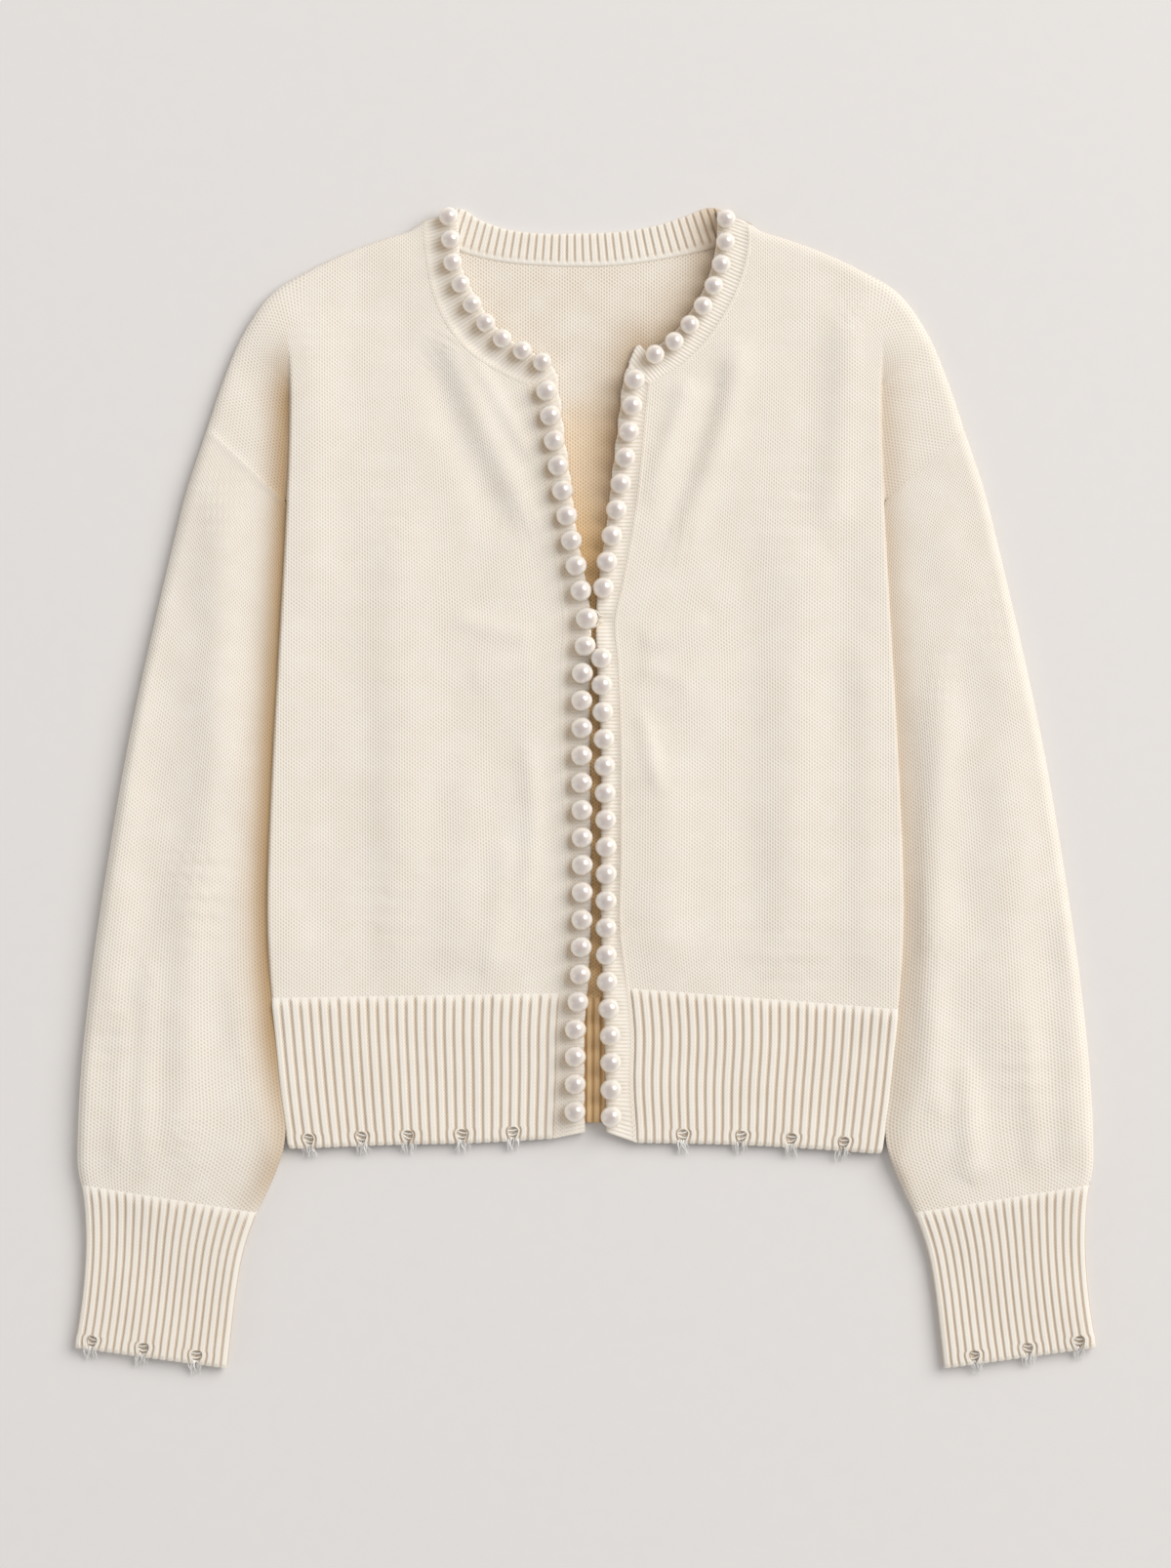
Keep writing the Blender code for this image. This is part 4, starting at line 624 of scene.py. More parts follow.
def cloth(name, outer, inner, stitches, slots, fields=None, keep=None, wrap=False,
          beyond_fold=None):
    """Closed wall between two grids, on the cells of `keep`, closed along their edges.

    `stitches` is a (rows, columns + 1 where wrapped, 2) map of wales and courses.  `beyond_fold`
    is a second map and the cells that use it, where the knit runs another way across a fold.
    """
    rows, cols = outer.shape[:2]
    across = cols if wrap else cols - 1
    keep = np.ones((rows - 1, across), bool) if keep is None else keep
    i, j = np.meshgrid(np.arange(rows - 1), np.arange(across), indexing="ij")
    next_j = (j + 1) % cols
    ring = np.stack([i * cols + j, (i + 1) * cols + j, (i + 1) * cols + next_j,
                     i * cols + next_j], -1)
    corners = cell_corners(stitches)
    if beyond_fold is not None:
        corners = np.where(beyond_fold[1][..., None, None], cell_corners(beyond_fold[0]), corners)
    count = rows * cols
    faces = [ring[keep], ring[keep][:, ::-1] + count]
    maps = [corners[keep], corners[keep][:, ::-1]]
    kinds = [np.zeros(len(faces[0])), np.ones(len(faces[1]))]
    blank = np.zeros((1, across), bool)
    if wrap:
        left, right = np.roll(keep, 1, 1), np.roll(keep, -1, 1)
    else:
        left = np.concatenate([np.zeros((rows - 1, 1), bool), keep[:, :-1]], 1)
        right = np.concatenate([keep[:, 1:], np.zeros((rows - 1, 1), bool)], 1)
    above = np.concatenate([blank, keep[:-1]])
    below = np.concatenate([keep[1:], blank])
    for side, neighbour in enumerate((left, below, right, above)):
        open_side = keep & ~neighbour
        p, q = ring[open_side][:, side], ring[open_side][:, (side + 1) % 4]
        uv_p, uv_q = corners[open_side][:, side], corners[open_side][:, (side + 1) % 4]
        faces.append(np.stack([q, p, p + count, q + count], -1))
        maps.append(np.stack([uv_q, uv_p, uv_p, uv_q], 1))
        kinds.append(np.zeros(len(p)))
    skins = len(faces[0]) + len(faces[1])
    rounded = np.arange(sum(len(part) for part in faces)) < skins
    points = np.concatenate([outer.reshape(-1, 3), inner.reshape(-1, 3)])
    both = {key: np.tile(value.ravel(), 2) for key, value in (fields or {}).items()}
    for key in ("painted_warm_shade", "groove", "shade"):
        both.setdefault(key, np.zeros(len(points)))
    return mesh_object(name, points, np.concatenate(faces), slots, np.concatenate(kinds),
                       np.concatenate(maps), both, rounded)


def ring_quads(rings, sides):
    """Quads between rings of points, with each quad's ring, side and next side."""
    i, k = np.meshgrid(np.arange(rings - 1), np.arange(sides), indexing="ij")
    nxt = (k + 1) % sides
    quads = np.stack([i * sides + k, i * sides + nxt, (i + 1) * sides + nxt,
                      (i + 1) * sides + k], -1).reshape(-1, 4)
    return quads, i, k, nxt


def tube(line, radii, sides, turns=0.0):
    """A yarn: rings of `sides` points square to a line of points, tapered by `radii`.

    Returns the points, the quads and the stitch map; the ends are closed by shrinking rings.
    """
    heading = unit(np.gradient(line, axis=0))
    side = unit(np.cross(heading, (0.13, 0.21, 1.0)))
    up = np.cross(side, heading)
    angle = np.linspace(0, 2 * math.pi, sides, endpoint=False)
    angle = angle[None] + turns * np.linspace(0, 2 * math.pi, len(line))[:, None]
    spokes = np.cos(angle)[..., None] * side[:, None] + np.sin(angle)[..., None] * up[:, None]
    rings = line[:, None] + radii[:, None, None] * spokes
    quads, i, k, nxt = ring_quads(len(line), sides)
    length = np.concatenate([[0], np.cumsum(np.linalg.norm(np.diff(line, axis=0), axis=-1))])
    u = np.stack([k, nxt + (nxt == 0) * sides, nxt + (nxt == 0) * sides, k], -1) / sides
    v = np.stack([length[i], length[i], length[i + 1], length[i + 1]], -1) / (2 * MM)
    return rings.reshape(-1, 3), quads, np.stack([u, v], -1).reshape(-1, 4, 2)


def capped(line, radius, sides, taper=0.0, turns=0.0):
    """A yarn with round ends: the radius closes over the first and last ring."""
    radii = radius * (1 - taper * np.linspace(0, 1, len(line)))
    line = np.concatenate([line[:1], line, line[-1:]])
    line[0] -= 0.4 * radius * unit(line[2] - line[1])
    line[-1] += 0.4 * radius * unit(line[-2] - line[-3])
    radii = np.concatenate([[radii[0] * 0.05], radii, [radii[-1] * 0.05]])
    return tube(line, radii, sides, turns)


def joined(name, shapes, material):
    """One object from several (points, quads, map) shapes."""
    points, faces, maps, start = [], [], [], 0
    for shape in shapes:
        points.append(shape[0])
        faces.append(shape[1] + start)
        maps.append(shape[2])
        start += len(shape[0])
    points = np.concatenate(points)
    faces = np.concatenate(faces)
    return mesh_object(name, points, faces, [material], np.zeros(len(faces)),
                       np.concatenate(maps), {})


# --- materials ---


class Wires:
    """Short ways to place and join the nodes of one tree."""

    def __init__(self, tree):
        self.tree = tree

    def node(self, kind, **settings):
        """A new node with these settings."""
        made = self.tree.nodes.new(kind)
        for key, value in settings.items():
            setattr(made, key, value)
        return made

    def put(self, socket, value):
        """Join a socket, or set its value."""
        if isinstance(value, bpy.types.NodeSocket):
            self.tree.links.new(value, socket)
        else:
            socket.default_value = value

    def fill(self, node, values):
        """Join or set several inputs of a node, by their labels."""
        for label, value in values.items():
            self.put(node.inputs[label], value)

    def bump(self, height, strength, depth):
        """Normals tilted by the slope of a height."""
        made = self.node("ShaderNodeBump")
        self.fill(made, {"Height": height, "Strength": strength, "Distance": depth})
        return made.outputs["Normal"]

    def math(self, operation, *values, clamp=False):
        """Result of one operation on one to three values."""
        made = self.node("ShaderNodeMath", operation=operation, use_clamp=clamp)
        for socket, value in zip(made.inputs, values):
            self.put(socket, value)
        return made.outputs[0]

    def mix(self, share, first, second, blend="MIX"):
        """Colour that goes from the first to the second by a share."""
        made = self.node("ShaderNodeMix", data_type="RGBA", blend_type=blend)
        self.put(made.inputs["Factor"], share)
        self.put(made.inputs["A"], first)
        self.put(made.inputs["B"], second)
        return made.outputs["Result"]

    def noise(self, vector, scale, detail=2.0):
        """Cloudy values from 0 to 1, `scale` of them to a metre."""
        made = self.node("ShaderNodeTexNoise")
        self.put(made.inputs["Vector"], vector)
        made.inputs["Scale"].default_value = scale
        made.inputs["Detail"].default_value = detail
        return made.outputs["Factor" if "Factor" in made.outputs else "Fac"]

    def wave(self, value, turns):
        """0.5 + 0.5 cos(2 pi turns value): 1 where the value is a whole number of turns."""
        angle = self.math("MULTIPLY", value, 2 * math.pi * turns)
        return self.math("MULTIPLY_ADD", self.math("COSINE", angle), 0.5, 0.5)


def new_group(name, takes, gives):
    """An empty shader group with named inputs and outputs; returns its wires and end nodes."""
    group = bpy.data.node_groups.new(name, "ShaderNodeTree")
    for label, kind, default in takes:
        socket = group.interface.new_socket(label, in_out="INPUT", socket_type=kind)
        if default is not None:
            socket.default_value = default
    for label, kind in gives:
        group.interface.new_socket(label, in_out="OUTPUT", socket_type=kind)
    wires = Wires(group)
    return group, wires, wires.node("NodeGroupInput"), wires.node("NodeGroupOutput")


def stitch_group():
    """Plain knit: round dark gaps in two columns to a wale, staggered by half a course.

    With c the cosine wave across a wale and r along a course, a gap is c^2.8 (0.25 + 0.75 r), and
    (1 - c)^2.8 (0.25 + 0.75 (1 - r)) half a wale on; between them the yarn stands up.
    """
    group, w, start, end = new_group(
        "Knit stitches",
        [("Stitches", "NodeSocketVector", None), ("Groove", "NodeSocketFloat", 0.3)],
        [("Height", "NodeSocketFloat"), ("Gaps", "NodeSocketFloat")])
    split = w.node("ShaderNodeSeparateXYZ")
    w.put(split.inputs[0], start.outputs["Stitches"])
    across, along = w.wave(split.outputs[0], 1), w.wave(split.outputs[1], 1)
    first = w.math("MULTIPLY", w.math("POWER", across, 2.8),
                   w.math("MULTIPLY_ADD", along, 0.75, 0.25))
    second = w.math("MULTIPLY", w.math("POWER", w.math("SUBTRACT", 1.0, across), 2.8),
                    w.math("MULTIPLY_ADD", along, -0.75, 1.0))
    gaps = w.math("ADD", first, second)
    parting = w.math("MULTIPLY", w.wave(split.outputs[0], 2), start.outputs["Groove"])
    w.fill(end, {"Height": w.math("SUBTRACT", 1.0, w.math("MAXIMUM", gaps, parting)),
                 "Gaps": w.math("MAXIMUM", gaps, w.math("MULTIPLY", parting, 0.8))})
    return group


def yarn_group():
    """Colour of the yarn: cream, uneven, with painted shade: darker gaps and grooves, warm deep
    shade.
    """
    group, w, start, end = new_group(
        "Yarn colour",
        [("Cream", "NodeSocketColor", (1, 1, 1, 1)), ("Shade", "NodeSocketColor", (1, 1, 1, 1)),
         ("Deep Shade", "NodeSocketColor", (1, 1, 1, 1)), ("Gaps", "NodeSocketFloat", 0.0),
         ("Gap Strength", "NodeSocketFloat", 0.5), ("Groove", "NodeSocketFloat", 0.0),
         ("Painted Warm Shade", "NodeSocketFloat", 0.0), ("Valley", "NodeSocketColor", (1, 1, 1, 1)),
         ("Shading", "NodeSocketFloat", 0.0)],
        [("Color", "NodeSocketColor"), ("Fibre", "NodeSocketFloat")])
    place = w.node("ShaderNodeTexCoord").outputs["Object"]
    slow = w.noise(place, 22.0)
    fibre = w.noise(place, 1400.0, 1.0)
    cream = w.mix(w.math("MULTIPLY", slow, 0.10), start.outputs["Cream"], start.outputs["Shade"])
    cream = w.mix(w.math("MULTIPLY", fibre, 0.08), cream, start.outputs["Shade"])
    uneven = w.math("MULTIPLY_ADD", w.noise(place, 75.0), 1.1, 0.45)
    deeper = w.math("MULTIPLY_ADD", start.outputs["Painted Warm Shade"], 0.25, uneven)
    gap = w.math("MULTIPLY", w.math("MULTIPLY", start.outputs["Gaps"], deeper),
                 start.outputs["Gap Strength"], clamp=True)
    colour = w.mix(gap, cream, start.outputs["Shade"])
    colour = w.mix(start.outputs["Groove"], colour, start.outputs["Shade"])
    colour = w.mix(start.outputs["Painted Warm Shade"], colour,
                   w.mix(1.0, colour, start.outputs["Deep Shade"], "MULTIPLY"))
    colour = w.mix(start.outputs["Shading"], colour,
                   w.mix(1.0, colour, start.outputs["Valley"], "MULTIPLY"))
    w.fill(end, {"Color": colour, "Fibre": fibre})
    return group


def shared_group(name, maker):
    """The shader group of this name, made when it is first asked for."""
    return bpy.data.node_groups.get(name) or maker()


def new_material(name):
    """A material with its wires and its Principled shader."""
    material = bpy.data.materials.new(name)
    material.use_nodes = True
    return material, Wires(material.node_tree), material.node_tree.nodes["Principled BSDF"]


def colour4(colour):
    """A colour with full alpha."""
    return (*colour[:3], 1.0)


def knit_material(name, gap_strength=0.5, depth=0.55 * MM, groove_share=0.42, course_lines=0.0,
                  crest=1.0):
    """Cream knit from its stitch map.

    `course_lines` adds the fine lines of the bands; `crest` is how much of the stitches' depth is
    left outside the rib grooves.
    """
    found = bpy.data.materials.get(name)
    if found:
        return found
    knit = bpy.context.scene.cardigan_knit
    material, w, shader = new_material(name)
    uv = w.node("ShaderNodeUVMap", uv_map="stitches").outputs["UV"]
    stitches = w.node("ShaderNodeGroup", node_tree=shared_group("Knit stitches", stitch_group))
    w.put(stitches.inputs["Stitches"], uv)
    height, gaps = stitches.outputs["Height"], stitches.outputs["Gaps"]
    groove = w.node("ShaderNodeAttribute", attribute_name="groove").outputs["Fac"]
    if crest < 1:
        gaps = w.math("MULTIPLY", gaps, w.math("MULTIPLY_ADD", groove, 1.5, crest))
        height = w.math("SUBTRACT", 1.0, gaps)
    if course_lines:
        split = w.node("ShaderNodeSeparateXYZ")
        w.put(split.inputs[0], uv)
        lines = w.math("MULTIPLY", w.math("POWER", w.wave(split.outputs[1], 1), 1.8), course_lines)
        plain = w.math("SUBTRACT", 1.0, groove)
        gaps = w.math("MULTIPLY_ADD", lines, groove, w.math("MULTIPLY", gaps, plain))
        height = w.math("SUBTRACT", 1.0, gaps)
    # The yarn group paints shade: the gaps and the rib grooves are coloured darker.
    yarn = w.node("ShaderNodeGroup", node_tree=shared_group("Yarn colour", yarn_group))
    w.fill(yarn, {"Cream": colour4(knit.cream), "Shade": colour4(knit.shade),
                  "Deep Shade": colour4(knit.deep_shade), "Valley": colour4(knit.valley),
                  "Gap Strength": gap_strength, "Gaps": gaps})
    if not course_lines:
        w.put(yarn.inputs["Groove"], w.math("MULTIPLY", groove, groove_share))
    # Painted shade from the pieces' fields: warm in the centre gap and beside the pearls; tan
    # beside the folds, along the right neckband and behind the rips.
    for label, field in (("Painted Warm Shade", "painted_warm_shade"), ("Shading", "shade")):
        source = w.node("ShaderNodeAttribute", attribute_name=field)
        w.put(yarn.inputs[label], source.outputs["Fac"])
    relief = w.math("MULTIPLY_ADD", yarn.outputs["Fibre"], 0.25, height)
    w.fill(shader, {"Base Color": yarn.outputs["Color"],
                    "Normal": w.bump(relief, knit.stitch_relief, depth), "Roughness": 0.88,
                    "Specular IOR Level": 0.2, "Sheen Weight": 0.18, "Sheen Roughness": 0.5})
    return material


def jersey():
    """Plain knit, outer face."""
    return knit_material("cream_jersey", gap_strength=0.46)


def turned_jersey():
    """Plain knit, inner face: deeper gaps, with more painted shade in them."""
    return knit_material("cream_jersey_inside", gap_strength=0.72, depth=0.6 * MM)


def rib_knit():
    """Knit of the ribs: few gaps on the crests, more in the grooves, all darkened by painted shade.
    """
    return knit_material("cream_rib_knit", gap_strength=0.5, depth=0.45 * MM, crest=0.35)


def band_knit():
    """Knit of the bands: fine lines at every whole course."""
    return knit_material("cream_band_knit", gap_strength=0.5, depth=0.4 * MM, course_lines=0.6)


def yarn_material(name, colour, roughness=0.85):
    """Twisted yarn: fine slanting lines from its stitch map, with painted shade in their grooves.
    """
    found = bpy.data.materials.get(name)
    if found:
        return found
    material, w, shader = new_material(name)
    split = w.node("ShaderNodeSeparateXYZ")
    w.put(split.inputs[0], w.node("ShaderNodeUVMap", uv_map="stitches").outputs["UV"])
    twist = w.wave(w.math("ADD", w.math("MULTIPLY", split.outputs[0], 2.0), split.outputs[1]), 1)
    painted_twist_shade = colour4([channel * 0.86 for channel in colour])
    w.fill(shader, {
        "Base Color": w.mix(w.math("POWER", twist, 3.0), colour4(colour), painted_twist_shade),
        "Normal": w.bump(w.math("SUBTRACT", 1.0, twist), 0.5, 0.2 * MM),
        "Roughness": roughness, "Specular IOR Level": 0.1, "Sheen Weight": 0.2})
    return material


def pearl_material():
    """Imitation pearl: milky body with slow clouds of rose and cream under a clear coat, and a
    painted reflection, rose in its middle and light towards its rim.
    """
    found = bpy.data.materials.get("pearl_coating")
    if found:
        return found
    trim = bpy.context.scene.cardigan_trim
    material, w, shader = new_material("pearl_coating")
    place = w.node("ShaderNodeTexCoord").outputs["Object"]
    cloud = w.noise(place, 210.0)
    # Painted reflection: darker rose where the pearl faces the view, lighter towards its rim.
    facing = w.node("ShaderNodeLayerWeight").outputs["Facing"]
    rim = w.math("MULTIPLY_ADD", facing, 2.6, w.math("MULTIPLY_ADD", cloud, 0.7, -0.35), clamp=True)
    milky_body_and_painted_reflection = w.mix(rim, colour4(trim.pearl_rose_and_reflection), colour4(trim.pearl_body))
    w.fill(shader, {
        "Base Color": milky_body_and_painted_reflection, "Roughness": w.math("MULTIPLY_ADD", cloud, 0.08, 0.26),
        "Specular IOR Level": 0.7, "Coat Weight": 1.0, "Coat Roughness": 0.15, "Coat IOR": 1.85,
        "Subsurface Weight": 0.75, "Subsurface Radius": (0.006, 0.005, 0.004),
        "Subsurface Scale": 1.0})
    return material


def place_piece(piece, node):
    """The piece stands for its node, which is hidden, and rides with the root body."""
    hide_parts(node)
    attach(piece, "root")
    return piece


# --- outline shares ---


def outline_share(row):
    """Share of the outline's length at a (fractional) row of its table."""
    steps = np.hypot(np.diff(OUTLINE["x"]), np.diff(OUTLINE["y"]))
    length = np.concatenate([[0.0], np.cumsum(steps)])
    return np.interp(row, np.arange(len(length)), length) / length[-1]


def outline_share_at(x):
    """Share of the outline's length where the shoulder line reaches X."""
    shares = np.linspace(0, outline_share(SHOULDER_END), 400)
    return np.interp(x, outline_at(shares)[:, 0], shares)


def outline_share_at_y(y):
    """Share of the outline's length where the sleeve's outer edge comes down to Y."""
    shares = np.linspace(outline_share(SHOULDER_END), 1, 400)
    return np.interp(-y, -outline_at(shares)[:, 1], shares)


# --- stitch maps ---
FAN_PIVOT = np.array([154.0, 216.0]) * MM   # the wales of the shoulder run together here
FAN_TURN = math.radians(46.6)               # they turn as far as the armhole seam
FAN_RADIUS = 45.0 * MM                      # where they are a full wale apart
FAN_Y = 225.0 * MM                          # the body's wales turn into the fan above this
FAN_BLEND = 25.0 * MM


def body_stitches(plan, band=None, pull=58 * MM):
    """Wales straight down the body; near the front band they run along its seam."""
    knit = bpy.context.scene.cardigan_knit
    x, y = plan[..., 0], plan[..., 1]
    if band is not None:
        seam = band_at(band, "seam", y)
        level = band_at(band, "seam", 60 * MM)
        x = x - (seam - level) * np.exp(-((x - seam) / pull) ** 2)
    return np.stack([x / knit.wale, y / knit.course], -1)


def shoulder_stitches(plan, side):
    """Wales of the dropped shoulder: a fan about the pivot, then straight along the seam.

    With q the point from the pivot (outwards, up) and a its angle from upright: in the fan the
    wale number grows with a times the fan's radius and the course with |q|; past the seam's angle
    both are measured square to and along the seam.
    """
    knit = bpy.context.scene.cardigan_knit
    q = half(plan) - FAN_PIVOT
    angle = np.arctan2(q[..., 0], q[..., 1])
    turn = np.clip(angle, 0, FAN_TURN)
    along = np.stack([np.sin(turn), np.cos(turn)], -1)
    out = np.stack([np.cos(turn), -np.sin(turn)], -1)
    past = (angle > FAN_TURN) | (angle < 0)
    u = FAN_PIVOT[0] + FAN_RADIUS * turn + np.where(past, (q * out).sum(-1), 0.0)
    v = FAN_PIVOT[1] + (q * along).sum(-1)
    return np.stack([side * u / knit.wale, v / knit.course], -1)


# --- front panels ---
FRONT_NECK_ROWS = 40
FRONT_UPPER_ROWS = 30
FRONT_LOWER_ROWS = 100
FRONT_COLUMNS = 104
FLAP_COLUMNS = 24
HEM_TOP_LEFT = (HEM_LEFT["top"][0], HEM_LEFT["top"][-1])
HEM_TOP_RIGHT = (HEM_RIGHT["top"][-1], HEM_RIGHT["top"][0])


def front_rows(side, neck, band, hem_top):
    """Matching points on a front panel's two long edges, shoulder to hem rib."""
    shoulder_y = shoulder_top(BODY_SIDE["x"][0])
    neck_end = neck["outer_y"][-1]
    neck_length = np.hypot(np.diff(neck["outer_x"]), np.diff(neck["outer_y"])).sum()
    right_steps = roll_steps(neck_length, EDGE_ROLL, FRONT_NECK_ROWS)
    left_steps = roll_steps(shoulder_y - neck_end, SLOPE_ROLL * EDGE_ROLL, FRONT_NECK_ROWS)
    neck_path = edge_of(neck, "outer", right_steps / neck_length)
    middle = np.linspace(neck_end, ARMPIT[1], FRONT_UPPER_ROWS + 1)[1:]
    low_left, low_right = hem_top
    side_low = np.linspace(ARMPIT[1], low_left, FRONT_LOWER_ROWS + 1)[1:]
    band_low = np.linspace(ARMPIT[1], low_right, FRONT_LOWER_ROWS + 1)[1:]
    side_y = np.concatenate([shoulder_y - left_steps, middle, side_low])
    band_y = np.concatenate([middle, band_low])
    side_line = np.stack([side * body_side(side_y), side_y], -1)
    band_line = np.stack([band_at(band, "seam", band_y), band_y], -1)
    centre_line = np.concatenate([neck_path, band_line])
    return side_line, centre_line, len(left_steps) + len(middle) - 1


def lift_to_shoulder(plan, side_line):
    """Bend the upper rows up to the curved shoulder line, less and less further down."""
    top = plan[0]
    curve = shoulder_top(np.abs(top[:, 0]))
    fade = 1 - ease((side_line[0, 1] - side_line[:, 1]) / SHOULDER_LIFT)
    plan[..., 1] += fade[:, None] * (curve - top[:, 1])


def flap_plan(side, side_line, armpit_row, columns=FLAP_COLUMNS, bends=FINE_BENDS):
    """Plan of the dropped shoulder outside the armhole fold, silhouette first.

    Its last row is repeated below the armpit, where no cell of it is kept.
    """
    corner_share, seam_share = outline_share(SHOULDER_CORNER), outline_share(SHOULDER_END)
    fold_share = outline_share_at(BODY_SIDE["x"][0])
    rows = side_line[:armpit_row + 1]
    down = (rows[0, 1] - rows[:, 1]) / (rows[0, 1] - rows[-1, 1])
    edge = outline_at(corner_share + (seam_share - corner_share) * down)
    fold = half(rows)
    width = np.linalg.norm(edge - fold, axis=-1)
    steps = np.stack([roll_steps(w, EDGE_ROLL, columns + 1, bends) / w for w in width])
    top = outline_at(corner_share + (fold_share - corner_share) * steps[0])
    straight = edge[:, None] + (fold - edge)[:, None] * steps[..., None]
    plan = straight + (1 - down)[:, None, None] * (top - straight[0])
    plan[..., 0] *= side
    below = np.repeat(plan[-1:], len(side_line) - armpit_row - 1, axis=0)
    return np.concatenate([plan, below])[:, :-1]


def front_panel(name, side, neck, band, hem_top):
    """A front: rows from the side fold to the neckband and front band, flap outside the fold."""
    side_line, centre_line, armpit_row = front_rows(side, neck, band, hem_top)
    width = np.linalg.norm(centre_line - side_line, axis=-1)
    steps = np.stack([roll_steps(w, EDGE_ROLL, FRONT_COLUMNS + 1) / w for w in width])
    panel = side_line[:, None] + (centre_line - side_line)[:, None] * steps[..., None]
    lift_to_shoulder(panel, side_line)
    flap = flap_plan(side, side_line, armpit_row)
    plan = np.concatenate([flap, panel], axis=1)
    fold_column = flap.shape[1]
    keep = np.ones((plan.shape[0] - 1, plan.shape[1] - 1), bool)
    keep[armpit_row:, :fold_column] = False
    beside = np.zeros(plan.shape[:2], bool)
    beside[:, :fold_column] = True
    height = front_height(plan, beside)
    grid = raised(plan, height)
    normal = grid_normals(grid)
    normal[armpit_row + 1:, fold_column] = grid_normals(grid[armpit_row + 1:, fold_column:])[:, 0]
    round_over(normal, plan, EDGE_ROLL, OUTER_LOFT, 1.0)
    square_along(normal, grid, np.s_[armpit_row, :fold_column + 1])
    level_out(normal, np.s_[armpit_row + 1:, fold_column], plan, SIDE_EDGE)
    square_along(normal, grid, np.s_[:, -1])
    square_along(normal, grid, np.s_[-1, fold_column:])
    outside = np.zeros(keep.shape, bool)
    outside[:, :fold_column] = True
    # Painted shade beside the body's folded side, stronger on the left, and on the body's own
    # folded edge.
    strength = SHADE_LEFT if side < 0 else SHADE_RIGHT
    points = half(plan)
    rim = RIM_SHADE * bell(distance(points, SIDE_EDGE), RIM_REACH)
    rim *= fade_in_below(points[..., 1], FOLD_TOP_Y, FOLD_RUN)
    shade = strength * np.where(beside, fold_painted_shade(points), rim)
    stitches = body_stitches(plan, band)
    fan = shoulder_stitches(plan, side)
    share = fade_in_above(plan[..., 1], FAN_Y, FAN_BLEND) * (points[..., 0] > FAN_PIVOT[0])
    stitches = stitches + share[..., None] * (fan - stitches)
    piece = cloth(name + "_knit", grid, grid - JERSEY * normal, stitches,
                  [jersey(), turned_jersey()], {"shade": shade}, keep, beyond_fold=(fan, outside))
    place_piece(piece, name)


# --- back panel ---
BACK_BENDS = (0, 15, 30, 45, 60, 75)
BACK_SIDE_COLUMNS = 26
BACK_LOWER_ROWS = 70
NECK_SPAN = (-84 * MM, 86 * MM)             # columns under the back neckline
NECK_COLUMNS = 69
NECK_GAP = 0.3 * MM
NECK_LEVEL = 86.5 * MM                      # the top edge is a neckline as far out as this
NECK_SHADE = 0.66
NECK_SHADE_REACH = 13.0 * MM
# Where the back's inner face lies in the shade of the right neckband and of the front bands.
GAP_SHADE = table(
    "y left right",
    (240.0, 12.0, 60.0), (224.0, 0.0, 40.0), (206.0, -16.0, 40.0),
    (190.0, -20.0, 36.0), (40.0, -24.0, 24.0), (-190.0, -28.0, 32.0))


def under_height(points, edge):
    """Outer face of the layer on the floor: 0, turned up by a quarter round at the fold edge."""
    reach = crown(distance(points, edge) / UNDER_ROLL)
    return (SIDE_SEAM_Z - LAYER_GAP / 2) * (1 - reach)


def gap_painted_shade(plan):
    """Painted warm shade on the back's inner face between the left and right limits of GAP_SHADE.
    """
    x, y = plan[..., 0], plan[..., 1]
    left = smooth(GAP_SHADE["y"], GAP_SHADE["left"], y)
    right = smooth(GAP_SHADE["y"], GAP_SHADE["right"], y)
    across = ease((x - left) / (12 * MM) + 0.5) * ease((right - x) / (6 * MM) + 0.5)
    deep = 0.5 + 0.5 * fade_in_below(y, 180 * MM, 50 * MM)
    return across * deep * fade_in_below(y, 236 * MM, 48 * MM)


def neck_shade(plan):
    """Brown shade on the back's inner face along the right neckband, softer to the left."""
    line = np.stack([NECK_RIGHT["inner_x"], NECK_RIGHT["inner_y"]], -1)
    line = np.concatenate([line, [[0.019, 0.205], [0.012, 0.150]]])
    near = np.exp(-(distance(plan, line) / NECK_SHADE_REACH) ** 1.6)
    return NECK_SHADE * near * fade_in_above(plan[..., 1], 140 * MM, 60 * MM)


